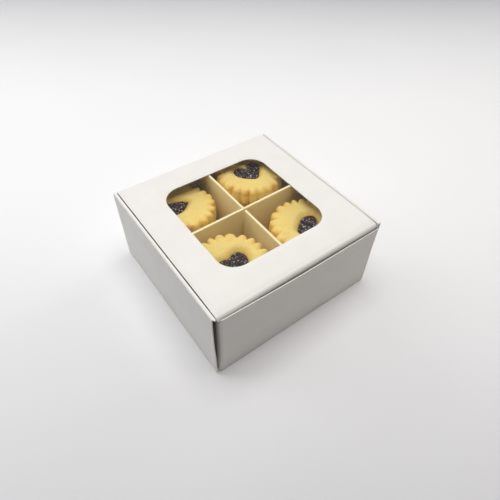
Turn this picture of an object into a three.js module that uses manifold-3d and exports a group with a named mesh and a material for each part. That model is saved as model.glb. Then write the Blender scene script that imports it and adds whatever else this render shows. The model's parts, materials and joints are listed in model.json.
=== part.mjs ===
// Treat box: a folded carton with a window lid, a slotted divider and stacks of fluted jam biscuits.
// Millimetres, +Z up, origin at the middle of the underside. The front wall, behind which the lid tucks
// in, faces -Y, and the lid hinges on the top of the rear wall at +Y.
import * as THREE from "three";
import { mergeVertices } from "three/addons/utils/BufferGeometryUtils.js";
import Module from "manifold-3d";

const wasm = await Module();
wasm.setup();

// Carton
const CAVITY_WIDTH = 110.6; // between the inner panels of the side walls
const CAVITY_DEPTH = 110; // between the front and rear walls
const HEIGHT = 53; // underside to the top of the closed lid
const BOARD = 0.5; // thickness of the carton board
const CREASE_RADIUS = 0.4; // inside of a folded crease
const PLY_GAP = 0.35; // air on each side of a corner flap inside a side wall
const FRONT_WALL_DROP = 2.2; // front wall's cut edge below the top of the lid
const SIDE_SETBACK = 0.3; // side wall's cut ends behind the front and rear faces
const END_GAP = 0.3; // inner side panel's ends to the front and rear walls

// Corner flaps, folded from the front and rear walls into the side walls
const FLAP_LENGTH = 30; // from the wall's face
const FLAP_TAPER = 5; // cut back above and below at the free end
const FLAP_GAP = 0.6; // to the folds above and below

// Locking tabs of the inner side panels, in slots of the base
const TAB_LENGTH = 14;
const TAB_SPACING = 62; // between the middles of the two tabs
const TAB_GAP = 0.1; // tab's tip above the underside
const SLOT_CLEARANCE = 0.25; // round a tab

// Lid with its window, film and tuck flap
const LID_SIDE_GAP = 0.4; // to each side wall
const WINDOW_SIDE_MARGIN = 19.2; // lid's side edge to the window
const WINDOW_FRONT_MARGIN = 19.3; // lid's front crease to the window
const WINDOW_REAR_MARGIN = 17.6; // lid's rear crease to the window
const WINDOW_RADIUS = 11.5; // round corners of the window
const FILM = 0.2; // thickness of the clear film
const FILM_OVERLAP = 7; // film past the window's edge
const FILM_RADIUS = 3;
const TUCK_GAP = 0.4; // tuck flap's crease to the front wall
const TUCK_DEPTH = 15; // crease to the flap's lower edge
const TUCK_REACH = 2.1; // how far the lower edge leans in from the crease
const TUCK_SIDE_INSET = 2.5; // flap's ends from the lid's side edges
const TUCK_RADIUS = 8; // flap's lower corners

// Divider insert: two strips, one slotted from below and one from above
const STRIP_BOARD = 1.5;
const STRIP_TOP_GAP = 0.3; // to the film above
const STRIP_END_GAP = 0.7; // to the space that the tuck flap takes
const SLOT_PLAY = 1.4; // slot wider than the strip it takes
const SLOT_SEAT = 0.15; // air on the side of the slot where the crossing strip sits
const SLOT_EXTRA_DEPTH = 0.4; // slot deeper than half the strip
const INSERT_X = -0.15; // where the loose insert lies
const INSERT_Y = 0.7;

// Biscuits
const BISCUIT_HEIGHT = 11.4;
const THICK_BISCUIT_HEIGHT = 12.4; // in the rear right compartment
const BISCUIT_CLEARANCE = 0.3; // to a compartment's side, past the space that the tuck flap takes
const HEADROOM = 2; // least air between a stack and the film
const FLUTES = 21;
const FLUTE_DEPTH = 1.3; // tip of a flute to the groove beside it
const FLUTE_STEPS = 4; // facets across a flute
const RIM_DROP = 1.6; // height of the rounded upper edge
const RIM_INSET = 1.1; // top face inside the flutes' outline
const JAM_WIDTH = 19; // across the well at the biscuit's top
const JAM_WELL_DEPTH = 5;
const JAM_WELL_DRAFT = 1.5; // well narrower at its floor, on each side
const JAM_CLEARANCE = 0.3; // jam to the sides of the well
const JAM_EDGE_DROP = 1.6; // edge of the jam below the biscuit's top
const JAM_CROWN_DROP = 0.5; // middle of the jam below the biscuit's top
const JAM_CROWN_SHARE = 0.55; // flat of the crown as a share of the jam's outline
const JAM_POINTS = 20;
const LAYER_TURN = THREE.MathUtils.degToRad(63); // one biscuit against the one below

// How each stack lies: its biscuits' height, its shift from its compartment's middle, the turn of the top
// heart in degrees, and the heart's shift from the biscuit's middle, to the heart's right and towards its lobes
const STACK_PLACES = {
  front_left: { height: BISCUIT_HEIGHT, shift: [0.9, 1.8], turn: 5, heart: [0.9, -1.1] },
  front_right: { height: BISCUIT_HEIGHT, shift: [-0.2, 1.1], turn: 262, heart: [2.2, 0] },
  rear_left: { height: BISCUIT_HEIGHT, shift: [0.9, 3], turn: 97, heart: [0.4, 3.1] },
  rear_right: { height: THICK_BISCUIT_HEIGHT, shift: [-1.6, 3], turn: 2, heart: [-1.4, 1.9] },
};

// Sizes that follow from those above
const FOLD = BOARD + CREASE_RADIUS; // outside radius of a fold
const SIDE_WALL = 3 * BOARD + 2 * PLY_GAP; // outer panel, corner flap and inner panel
const TOP_FOLD = Math.min(FOLD, SIDE_WALL / 2);
const WIDTH = CAVITY_WIDTH + 2 * SIDE_WALL;
const DEPTH = CAVITY_DEPTH + 2 * BOARD;
const LID_UNDERSIDE = HEIGHT - BOARD;
const FACE_HALF = WIDTH / 2 - BOARD - PLY_GAP; // middle of the front to the fold of its corner flap
const LID_WIDTH = CAVITY_WIDTH - 2 * LID_SIDE_GAP;
const LID_FRONT = -CAVITY_DEPTH / 2 + TUCK_GAP;
const TUCK_SPACE = TUCK_GAP + TUCK_REACH + BOARD; // taken from the cavity behind the front wall
const FILM_UNDERSIDE = LID_UNDERSIDE - FILM;
const STRIP_LENGTH = CAVITY_DEPTH - 2 * (TUCK_SPACE + STRIP_END_GAP);
const STRIP_HEIGHT = FILM_UNDERSIDE - STRIP_TOP_GAP - BOARD;
const STACK = Math.floor((FILM_UNDERSIDE - BOARD - HEADROOM) / Math.max(BISCUIT_HEIGHT, THICK_BISCUIT_HEIGHT));

const WHITE_BOARD = { color: 0xf1efea, roughness: 0.62, metalness: 0 };
const INSERT_BOARD = { color: 0xe9dcc0, roughness: 0.75, metalness: 0 };
const CLEAR_FILM = { color: 0xffffff, roughness: 0.08, metalness: 0, transparent: true, opacity: 0.15 };
const BAKED_DOUGH = { color: 0xe6c987, roughness: 0.85, metalness: 0 };
const BERRY_JAM = { color: 0x2a1a22, roughness: 0.2, metalness: 0 };

/** A named mesh with a material of its own. */
function piece(name, geometry, finish) {
  const mesh = new THREE.Mesh(geometry, new THREE.MeshStandardMaterial(finish));
  mesh.name = name;
  return mesh;
}

/** A shape extruded by a length, its middle at the origin. */
function prism(shape, length) {
  const geometry = new THREE.ExtrudeGeometry(shape, { depth: length, bevelEnabled: false, curveSegments: 6 });
  return geometry.translate(0, 0, -length / 2);
}

/** Turns a prism drawn in X and Y so that its shape stands in Y and Z, and its length runs along X. */
function alongX(geometry) {
  return geometry.applyMatrix4(
    new THREE.Matrix4().makeBasis(
      new THREE.Vector3(0, 1, 0),
      new THREE.Vector3(0, 0, 1),
      new THREE.Vector3(1, 0, 0),
    ),
  );
}

/** Turns a prism drawn in X and Y so that its shape stands in X and Z, and its length runs along Y. */
function alongY(geometry) {
  return geometry.rotateX(Math.PI / 2);
}

/** The closed solid of a geometry, ready to be joined or cut. */
function solid(geometry) {
  const bare = geometry.clone();
  bare.deleteAttribute("normal");
  bare.deleteAttribute("uv");
  const merged = mergeVertices(bare);
  const vertProperties = Float32Array.from(merged.attributes.position.array);
  const triVerts = Uint32Array.from(merged.index.array);
  return new wasm.Manifold(new wasm.Mesh({ numProp: 3, vertProperties, triVerts }));
}

/** The geometry of a solid. */
function geometryOf(body) {
  const mesh = body.getMesh();
  const geometry = new THREE.BufferGeometry();
  geometry.setAttribute("position", new THREE.BufferAttribute(mesh.vertProperties, 3));
  geometry.setIndex(new THREE.BufferAttribute(mesh.triVerts, 1));
  geometry.computeVertexNormals();
  return geometry;
}

/** A rectangle with round corners, its middle at (x, y). */
function roundedRectangle(width, depth, radius, x = 0, y = 0) {
  const right = width / 2;
  const back = depth / 2;
  const r = Math.min(radius, right, back);
  const shape = new THREE.Shape();
  shape.absarc(x + right - r, y - back + r, r, -Math.PI / 2, 0, false);
  shape.absarc(x + right - r, y + back - r, r, 0, Math.PI / 2, false);
  shape.absarc(x - right + r, y + back - r, r, Math.PI / 2, Math.PI, false);
  shape.absarc(x - right + r, y - back + r, r, Math.PI, 1.5 * Math.PI, false);
  return shape;
}

/** A plain rectangle, its middle at the origin. */
function rectangle(width, depth) {
  const shape = new THREE.Shape();
  shape.moveTo(-width / 2, -depth / 2);
  shape.lineTo(width / 2, -depth / 2);
  shape.lineTo(width / 2, depth / 2);
  shape.lineTo(-width / 2, depth / 2);
  shape.closePath();
  return shape;
}

/** A strip with a slot from the middle of its lower edge, the strip's own middle at the origin. */
function slottedStrip(length, height, slotWidth, slotDepth) {
  const shape = new THREE.Shape();
  shape.moveTo(-length / 2, -height / 2);
  shape.lineTo(-slotWidth / 2, -height / 2);
  shape.lineTo(-slotWidth / 2, -height / 2 + slotDepth);
  shape.lineTo(slotWidth / 2, -height / 2 + slotDepth);
  shape.lineTo(slotWidth / 2, -height / 2);
  shape.lineTo(length / 2, -height / 2);
  shape.lineTo(length / 2, height / 2);
  shape.lineTo(-length / 2, height / 2);
  shape.closePath();
  return shape;
}

/**
 * Section of board that leaves a flat panel at x = 0, bends square in a fold and runs on as a leg.
 * The panel's outer face is y = 0, the leg's outer face is x = -FOLD and its end is at y = leg.
 */
function bentSection(leg) {
  const shape = new THREE.Shape();
  shape.moveTo(-FOLD, leg);
  shape.absarc(0, FOLD, FOLD, Math.PI, 1.5 * Math.PI, false);
  shape.absarc(0, FOLD, CREASE_RADIUS, 1.5 * Math.PI, Math.PI, true);
  shape.lineTo(-FOLD + BOARD, leg);
  shape.closePath();
  return shape;
}

/** Section of the rolled top of a side wall: down the outer face at x = 0, over and down inside. */
function rolledTopSection() {
  const inside = TOP_FOLD - BOARD;
  const far = SIDE_WALL - TOP_FOLD;
  const shape = new THREE.Shape();
  shape.moveTo(SIDE_WALL, 0);
  shape.absarc(far, 0, TOP_FOLD, 0, Math.PI / 2, false);
  shape.absarc(TOP_FOLD, 0, TOP_FOLD, Math.PI / 2, Math.PI, false);
  shape.lineTo(BOARD, 0);
  shape.absarc(TOP_FOLD, 0, inside, Math.PI, Math.PI / 2, true);
  shape.absarc(far, 0, inside, Math.PI / 2, 0, true);
  shape.closePath();
  return shape;
}

/** Base panel with the slots that take the side walls' locking tabs. */
function basePanel() {
  const slotX = CAVITY_WIDTH / 2 + BOARD / 2;
  const slot = rectangle(BOARD + 2 * SLOT_CLEARANCE, TAB_LENGTH + 2 * SLOT_CLEARANCE);
  let plate = solid(prism(rectangle(WIDTH - 2 * FOLD, DEPTH - 2 * FOLD), BOARD));
  for (const x of [-slotX, slotX]) {
    for (const y of [-TAB_SPACING / 2, TAB_SPACING / 2]) {
      plate = plate.subtract(solid(prism(slot, 2 * BOARD).translate(x, y, 0)));
    }
  }
  return geometryOf(plate).translate(0, 0, BOARD / 2);
}

/** An upright wall with the fold at its foot, its outer face at y = -reach. */
function uprightWall(length, height, reach) {
  return alongX(prism(bentSection(height), length)).translate(0, -reach + FOLD, 0);
}

/** A corner flap with its fold, drawn to the right of a wall and centred on the flap's height. */
function cornerFlap(height) {
  const bent = prism(bentSection(FLAP_LENGTH), height).rotateY(Math.PI);
  const outline = new THREE.Shape();
  outline.moveTo(0, -height / 2);
  outline.lineTo(2 * FOLD, -height / 2);
  outline.lineTo(FLAP_LENGTH, -height / 2 + FLAP_TAPER);
  outline.lineTo(FLAP_LENGTH, height / 2 - FLAP_TAPER);
  outline.lineTo(2 * FOLD, height / 2);
  outline.lineTo(0, height / 2);
  outline.closePath();
  const cutter = alongX(prism(outline, 3 * FOLD));
  return geometryOf(solid(bent).intersect(solid(cutter)));
}

/** Front or rear wall with its two corner flaps, facing -Y. */
function endWall(side, height) {
  const group = new THREE.Group();
  const foldX = FACE_HALF - FOLD;
  group.add(piece(`${side}_wall`, uprightWall(2 * foldX, height, DEPTH / 2), WHITE_BOARD));
  const top = Math.min(height, HEIGHT - TOP_FOLD) - FLAP_GAP;
  const foot = FOLD + FLAP_GAP;
  const geometry = cornerFlap(top - foot);
  const turned = side === "rear";
  for (const [hand, sign] of [["left", -1], ["right", 1]]) {
    const flap = piece(`${side}_${hand}_corner_flap`, geometry, WHITE_BOARD);
    const way = turned ? -sign : sign;
    flap.position.set(way * foldX, -DEPTH / 2, (top + foot) / 2);
    flap.rotation.y = way > 0 ? 0 : Math.PI;
    group.add(flap);
  }
  group.rotation.z = turned ? Math.PI : 0;
  return group;
}

/** Inner panel of a side wall with its locking tabs, drawn in X and Z. */
function innerSidePanel() {
  const end = CAVITY_DEPTH / 2 - END_GAP;
  const shape = new THREE.Shape();
  shape.moveTo(-end, BOARD);
  for (const middle of [-TAB_SPACING / 2, TAB_SPACING / 2]) {
    shape.lineTo(middle - TAB_LENGTH / 2, BOARD);
    shape.lineTo(middle - TAB_LENGTH / 2, TAB_GAP);
    shape.lineTo(middle + TAB_LENGTH / 2, TAB_GAP);
    shape.lineTo(middle + TAB_LENGTH / 2, BOARD);
  }
  shape.lineTo(end, BOARD);
  shape.lineTo(end, HEIGHT - TOP_FOLD);
  shape.lineTo(-end, HEIGHT - TOP_FOLD);
  shape.closePath();
  return alongY(prism(shape, BOARD)).translate(0, -CAVITY_WIDTH / 2 - BOARD / 2, 0);
}

/** Side wall rolled over at the top, drawn facing -Y and turned to its side. */
function sideWall(side, turn) {
  const group = new THREE.Group();
  const outerLength = DEPTH - 2 * SIDE_SETBACK;
  const innerLength = CAVITY_DEPTH - 2 * END_GAP;
  const outer = uprightWall(outerLength, HEIGHT - TOP_FOLD, WIDTH / 2);
  const rolled = alongX(prism(rolledTopSection(), innerLength)).translate(0, -WIDTH / 2, HEIGHT - TOP_FOLD);
  group.add(piece(`${side}_outer_panel`, outer, WHITE_BOARD));
  group.add(piece(`${side}_top_fold`, rolled, WHITE_BOARD));
  group.add(piece(`${side}_inner_panel`, innerSidePanel(), WHITE_BOARD));
  group.rotation.z = turn;
  return group;
}

/** Window in the lid: its width, depth and the middle of its depth. */
function windowSize() {
  const front = LID_FRONT + WINDOW_FRONT_MARGIN;
  const rear = DEPTH / 2 - WINDOW_REAR_MARGIN;
  return { width: LID_WIDTH - 2 * WINDOW_SIDE_MARGIN, depth: rear - front, middle: (front + rear) / 2 };
}

/** Lid panel, rounded where it bends into the rear wall and the tuck flap, with its window cut out. */
function lidPanel() {
  const section = new THREE.Shape();
  section.moveTo(LID_FRONT, LID_UNDERSIDE);
  section.lineTo(DEPTH / 2, LID_UNDERSIDE);
  section.absarc(DEPTH / 2 - BOARD, LID_UNDERSIDE, BOARD, 0, Math.PI / 2, false);
  section.absarc(LID_FRONT + BOARD, LID_UNDERSIDE, BOARD, Math.PI / 2, Math.PI, false);
  const sheet = alongX(prism(section, LID_WIDTH));
  const { width, depth, middle } = windowSize();
  const opening = prism(roundedRectangle(width, depth, WINDOW_RADIUS, 0, middle), 4 * BOARD);
  opening.translate(0, 0, HEIGHT);
  return geometryOf(solid(sheet).subtract(solid(opening)));
}

/** Clear film on the underside of the lid. */
function windowFilm() {
  const { width, depth, middle } = windowSize();
  const sheet = roundedRectangle(width + 2 * FILM_OVERLAP, depth + 2 * FILM_OVERLAP, FILM_RADIUS, 0, middle);
  return prism(sheet, FILM).translate(0, 0, LID_UNDERSIDE - FILM / 2);
}

/** Tuck flap, hanging from the lid's front crease and leaning in, with round lower corners. */
function tuckFlap() {
  const low = LID_UNDERSIDE - TUCK_DEPTH;
  const section = new THREE.Shape();
  section.moveTo(LID_FRONT, LID_UNDERSIDE);
  section.lineTo(LID_FRONT + TUCK_REACH, low);
  section.lineTo(LID_FRONT + TUCK_REACH + BOARD, low);
  section.lineTo(LID_FRONT + BOARD, LID_UNDERSIDE);
  section.closePath();
  const width = LID_WIDTH - 2 * TUCK_SIDE_INSET;
  const leaning = alongX(prism(section, width));
  const outline = roundedRectangle(width, 2 * TUCK_DEPTH, TUCK_RADIUS);
  const cutter = alongY(prism(outline, 4 * TUCK_SPACE)).translate(0, LID_FRONT, LID_UNDERSIDE);
  return geometryOf(solid(leaning).intersect(solid(cutter)));
}

/** Cross strip, slotted from below, and long strip, slotted from above, locked into each other. */
function dividerInsert() {
  const group = new THREE.Group();
  const slotWidth = STRIP_BOARD + SLOT_PLAY;
  const slotDepth = STRIP_HEIGHT / 2 + SLOT_EXTRA_DEPTH;
  const strip = alongY(prism(slottedStrip(STRIP_LENGTH, STRIP_HEIGHT, slotWidth, slotDepth), STRIP_BOARD));
  const cross = piece("cross_divider", strip, INSERT_BOARD);
  const long = piece("long_divider", strip, INSERT_BOARD);
  long.rotation.set(Math.PI, 0, Math.PI / 2);
  long.position.y = -(SLOT_PLAY / 2 - SLOT_SEAT);
  group.add(cross, long);
  group.position.set(INSERT_X, INSERT_Y, BOARD + STRIP_HEIGHT / 2);
  return group;
}

/** Closed solid through rings of points with equal counts, listed upwards, each anticlockwise from above. */
function loft(rings) {
  const count = rings[0].outline.length;
  const positions = [];
  for (const { outline, z } of rings) {
    for (const point of outline) {
      positions.push(point.x, point.y, z);
    }
  }
  const indices = [];
  for (let ring = 0; ring < rings.length - 1; ring += 1) {
    for (let step = 0; step < count; step += 1) {
      const a = ring * count + step;
      const b = ring * count + ((step + 1) % count);
      indices.push(a, b, b + count, a, b + count, a + count);
    }
  }
  const last = (rings.length - 1) * count;
  for (const [a, b, c] of THREE.ShapeUtils.triangulateShape(rings[0].outline, [])) {
    indices.push(c, b, a);
  }
  for (const [a, b, c] of THREE.ShapeUtils.triangulateShape(rings[rings.length - 1].outline, [])) {
    indices.push(last + a, last + b, last + c);
  }
  const geometry = new THREE.BufferGeometry();
  geometry.setAttribute("position", new THREE.Float32BufferAttribute(positions, 3));
  geometry.setIndex(indices);
  return geometry;
}

/** Fluted outline: round bumps side by side on a circle, each an arc from groove to groove. */
function flutedOutline(radius) {
  const half = Math.PI / FLUTES;
  const groove = radius - FLUTE_DEPTH;
  const chord = groove * Math.sin(half);
  const rise = radius - groove * Math.cos(half);
  const bump = (chord * chord + rise * rise) / (2 * rise);
  const sweep = Math.asin(Math.min(1, chord / bump));
  const points = [];
  for (let flute = 0; flute < FLUTES; flute += 1) {
    for (let step = 0; step < FLUTE_STEPS; step += 1) {
      const angle = sweep * ((2 * step) / FLUTE_STEPS - 1);
      const point = new THREE.Vector2(radius - bump + bump * Math.cos(angle), bump * Math.sin(angle));
      points.push(point.rotateAround(new THREE.Vector2(), 2 * half * flute));
    }
  }
  return points;
}

/** Heart outline of a given width, its point towards -Y. */
function heartOutline(width) {
  const scale = width / 32;
  const points = [];
  for (let step = 0; step < JAM_POINTS; step += 1) {
    const t = (-2 * Math.PI * step) / JAM_POINTS;
    const x = 16 * Math.sin(t) ** 3;
    const y = 13 * Math.cos(t) - 5 * Math.cos(2 * t) - 2 * Math.cos(3 * t) - Math.cos(4 * t);
    points.push(new THREE.Vector2(x * scale, y * scale));
  }
  return points;
}

/** Fluted biscuit with a rounded upper edge and a well for the jam at (x, y), standing on z = 0. */
function biscuit(radius, height, [x, y]) {
  const full = flutedOutline(radius);
  const inset = flutedOutline(radius - RIM_INSET);
  const body = loft([
    { outline: full, z: 0 },
    { outline: full, z: height - RIM_DROP },
    { outline: inset, z: height },
  ]);
  const well = loft([
    { outline: heartOutline(JAM_WIDTH - 2 * JAM_WELL_DRAFT), z: height - JAM_WELL_DEPTH },
    { outline: heartOutline(JAM_WIDTH), z: height },
    { outline: heartOutline(JAM_WIDTH), z: height + RIM_DROP },
  ]).translate(x, y, 0);
  return geometryOf(solid(body).subtract(solid(well)));
}

/** Jam that stands on the floor of a biscuit's well at (x, y) and crowns in the middle. */
function jamFilling(height, [x, y]) {
  const floorWidth = JAM_WIDTH - 2 * (JAM_WELL_DRAFT + JAM_CLEARANCE);
  const share = (JAM_WELL_DEPTH - JAM_EDGE_DROP) / JAM_WELL_DEPTH;
  const edgeWidth = floorWidth + 2 * JAM_WELL_DRAFT * share;
  return loft([
    { outline: heartOutline(floorWidth), z: height - JAM_WELL_DEPTH },
    { outline: heartOutline(edgeWidth), z: height - JAM_EDGE_DROP },
    { outline: heartOutline(edgeWidth * JAM_CROWN_SHARE), z: height - JAM_CROWN_DROP },
  ]).translate(x, y, 0);
}

/** One compartment's middle and its smaller half size. */
function compartment(sideX, sideY) {
  const wall = new THREE.Vector2((sideX * CAVITY_WIDTH) / 2, (sideY * CAVITY_DEPTH) / 2);
  const strip = new THREE.Vector2(INSERT_X + (sideX * STRIP_BOARD) / 2, INSERT_Y + (sideY * STRIP_BOARD) / 2);
  const middle = wall.clone().add(strip).multiplyScalar(0.5);
  const half = Math.min(Math.abs(wall.x - strip.x), Math.abs(wall.y - strip.y)) / 2;
  return { middle, half };
}

/** A stack of biscuits with their jam in each compartment. */
function biscuitStacks() {
  const group = new THREE.Group();
  const cells = [];
  for (const [row, sideY] of [["front", -1], ["rear", 1]]) {
    for (const [column, sideX] of [["left", -1], ["right", 1]]) {
      cells.push({ name: `${row}_${column}`, ...compartment(sideX, sideY) });
    }
  }
  const radius = Math.min(...cells.map((cell) => cell.half)) - TUCK_SPACE - BISCUIT_CLEARANCE;
  for (const { name, middle } of cells) {
    const { height, shift, turn, heart } = STACK_PLACES[name];
    const dough = biscuit(radius, height, heart);
    const jam = jamFilling(height, heart);
    for (let layer = 1; layer <= STACK; layer += 1) {
      const treat = new THREE.Group();
      treat.add(piece(`${name}_biscuit_${layer}`, dough, BAKED_DOUGH));
      treat.add(piece(`${name}_jam_${layer}`, jam, BERRY_JAM));
      treat.position.set(middle.x + shift[0], middle.y + shift[1], BOARD + (layer - 1) * height);
      treat.rotation.z = THREE.MathUtils.degToRad(turn) + (STACK - layer) * LAYER_TURN;
      group.add(treat);
    }
  }
  return group;
}

const treatBox = new THREE.Group();
treatBox.add(piece("base_panel", basePanel(), WHITE_BOARD));
treatBox.add(endWall("front", HEIGHT - FRONT_WALL_DROP));
treatBox.add(endWall("rear", LID_UNDERSIDE));
treatBox.add(sideWall("left", -Math.PI / 2));
treatBox.add(sideWall("right", Math.PI / 2));
treatBox.add(piece("lid_panel", lidPanel(), WHITE_BOARD));
treatBox.add(piece("window_film", windowFilm(), CLEAR_FILM));
treatBox.add(piece("tuck_flap", tuckFlap(), WHITE_BOARD));
treatBox.add(dividerInsert());
treatBox.add(biscuitStacks());

export default treatBox;
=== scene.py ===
"""Dresses the treat box: a folded white carton with a window lid, a divider and jam biscuits.

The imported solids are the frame. Around them this script models the board, the film, the strips,
the biscuits and their jam in metres, and sets up a plain studio: a pale floor, soft light from
above and the photograph's camera.
"""

import json
import logging
import math
from collections.abc import Callable, Iterable, Iterator
from contextlib import contextmanager
from dataclasses import dataclass
from enum import Enum
from typing import ClassVar

import bmesh
import bpy
import numpy as np
from mathutils import Matrix, Vector, noise

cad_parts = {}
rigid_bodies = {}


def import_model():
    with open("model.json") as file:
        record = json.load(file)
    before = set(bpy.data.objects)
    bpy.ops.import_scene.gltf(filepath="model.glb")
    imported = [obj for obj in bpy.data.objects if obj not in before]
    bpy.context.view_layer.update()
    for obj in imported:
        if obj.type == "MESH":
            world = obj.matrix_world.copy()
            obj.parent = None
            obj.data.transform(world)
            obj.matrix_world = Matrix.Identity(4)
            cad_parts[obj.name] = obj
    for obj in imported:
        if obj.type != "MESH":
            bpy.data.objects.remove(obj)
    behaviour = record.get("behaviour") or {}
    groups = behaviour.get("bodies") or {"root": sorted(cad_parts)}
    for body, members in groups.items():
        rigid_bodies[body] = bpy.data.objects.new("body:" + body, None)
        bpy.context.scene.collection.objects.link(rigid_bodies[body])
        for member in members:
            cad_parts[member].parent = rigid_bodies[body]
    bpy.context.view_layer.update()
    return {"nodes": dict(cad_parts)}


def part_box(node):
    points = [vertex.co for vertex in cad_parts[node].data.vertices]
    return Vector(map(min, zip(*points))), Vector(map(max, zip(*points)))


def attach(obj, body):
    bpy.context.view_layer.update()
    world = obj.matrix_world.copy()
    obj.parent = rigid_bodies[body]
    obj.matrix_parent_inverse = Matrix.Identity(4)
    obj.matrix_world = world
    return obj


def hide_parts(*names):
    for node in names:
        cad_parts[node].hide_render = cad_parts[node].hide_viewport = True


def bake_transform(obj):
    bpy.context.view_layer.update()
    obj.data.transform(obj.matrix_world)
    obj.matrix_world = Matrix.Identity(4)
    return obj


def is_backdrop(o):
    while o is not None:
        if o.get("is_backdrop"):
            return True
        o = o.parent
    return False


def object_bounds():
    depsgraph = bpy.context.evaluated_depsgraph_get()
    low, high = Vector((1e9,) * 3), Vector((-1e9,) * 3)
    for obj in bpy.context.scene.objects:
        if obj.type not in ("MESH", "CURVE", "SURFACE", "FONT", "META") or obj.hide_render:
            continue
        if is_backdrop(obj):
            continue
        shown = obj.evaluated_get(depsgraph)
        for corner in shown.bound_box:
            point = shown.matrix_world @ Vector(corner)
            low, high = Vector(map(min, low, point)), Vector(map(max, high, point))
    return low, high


LOG = logging.getLogger("treat_box")

Triple = tuple[float, float, float]
Colour = Triple
Pair = tuple[float, float]
Span = Pair
Test = Callable[[list[Vector]], bool]

MM = 0.001
SNAP = 0.02 * MM  # two places this close are the same
MERGE = SNAP / 4  # two corners of a sheet this close become one
DECIMALS = 7  # a solid's loose corners that agree so far are one
TINY = 1e-9  # keeps a division from zero
ORIGIN = Vector((0, 0, 0))
X_AXIS = Vector((1, 0, 0))
Y_AXIS = Vector((0, 1, 0))
Z_AXIS = Vector((0, 0, 1))
ENDS = (-1, 1)

SHY = 0.98  # a fold is rounded just short of the next edge
PAST = 1.01  # just past a rounding, in radii
FACES_OUT = 0.5  # the least share of a normal that looks outward
SHEET_SMOOTH = 40.0  # board and film shade smoothly under this angle, in degrees
WEAR_ANGLE = math.radians(55)  # cut edges sharper than this are worn round
WEAR_STEPS = 2

NOISE_SPAN = (0.3, 0.7)  # where most of a cloudy noise lies
WIDE_SPAN = (0.2, 0.8)  # where nearly all of a finer noise lies
FULL = (0.0, 1.0)
MIX_FIRST, MIX_SECOND, MIX_RESULT = 6, 7, 2  # a Mix node's sockets for colours

# painted shade: this attribute darkens the board deep in the slot of a fold, where shade falls
PAINTED_SHADE_ATTRIBUTE = "folded"  # the attribute that says how deep a point lies in a fold
# how browned a point is, with painted shade in the flutes' grooves and on the dimple round the jam
BROWNING_AND_SHADE = "browned"  # the attribute that says how browned a point is


class Pick(Enum):
    """What an operator in edit mode acts on."""

    VERTS = "VERT"
    EDGES = "EDGE"
    FACES = "FACE"


class Reading(Enum):
    """What is read from a mesh's points."""

    PLACES = "co"
    NORMALS = "normal"


class Opening(Enum):
    """The edge of a strip where its slot opens."""

    BELOW = -1
    ABOVE = 1


class Facing(Enum):
    """The way a new panel's outer face looks: the turn of its plane, then the direction."""

    UP = ((0.0, 0.0, 0.0), (0.0, 0.0, 1.0))
    FRONT = ((math.pi / 2, 0.0, 0.0), (0.0, -1.0, 0.0))
    LEFT = ((math.pi / 2, 0.0, -math.pi / 2), (-1.0, 0.0, 0.0))

    @property
    def turn(self) -> Triple:
        """The turn of the panel's plane."""
        return self.value[0]

    @property
    def outward(self) -> Vector:
        """The direction in which the outer face looks."""
        return Vector(self.value[1])


class Turn(Enum):
    """The turn that takes a wall modelled at the front to its own side of the carton."""

    FRONT = 0.0
    RIGHT = math.pi / 2
    REAR = math.pi
    LEFT = -math.pi / 2


class Wave(Enum):
    """The waves round a biscuit by which its shape or its bake is uneven."""

    FLUTE_PITCH = (2, 3, 5)
    FLUTE_DEPTH = (4, 7)
    SPREAD = (3, 6)
    TOAST = (5, 9, 13)


def lies_on(**planes: float) -> Test:
    """Makes a test for edges or faces that lie in planes.

    Args:
        planes: The planes by their axes, such as z=0.053.

    Returns:
        The test, which takes the places of one element's corners.
    """
    wanted = {"xyz".index(axis): value for axis, value in planes.items()}
    return lambda corners: all(
        abs(corner[axis] - value) < SNAP for axis, value in wanted.items() for corner in corners
    )


def ease(low: float, high: float, values: np.ndarray) -> np.ndarray:
    """A smooth step from 0 at low to 1 at high."""
    share = np.clip((values - low) / (high - low), 0.0, 1.0)
    return share * share * (3.0 - 2.0 * share)


def bell(distance: np.ndarray, width: float) -> np.ndarray:
    """A bell curve that is 1 at no distance."""
    return np.exp(-0.5 * (distance / width) ** 2)


def rounding(radius: float, distance: np.ndarray) -> np.ndarray:
    """How far a quarter-round edge falls away at a distance from it."""
    into = np.clip(radius - distance, 0, radius)
    return radius - np.sqrt(radius**2 - into**2)


def grain(places: np.ndarray, scale: float) -> np.ndarray:
    """Smooth noise between -1 and 1 at each place."""
    return np.array([noise.noise(Vector(place) * scale) for place in places])


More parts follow.
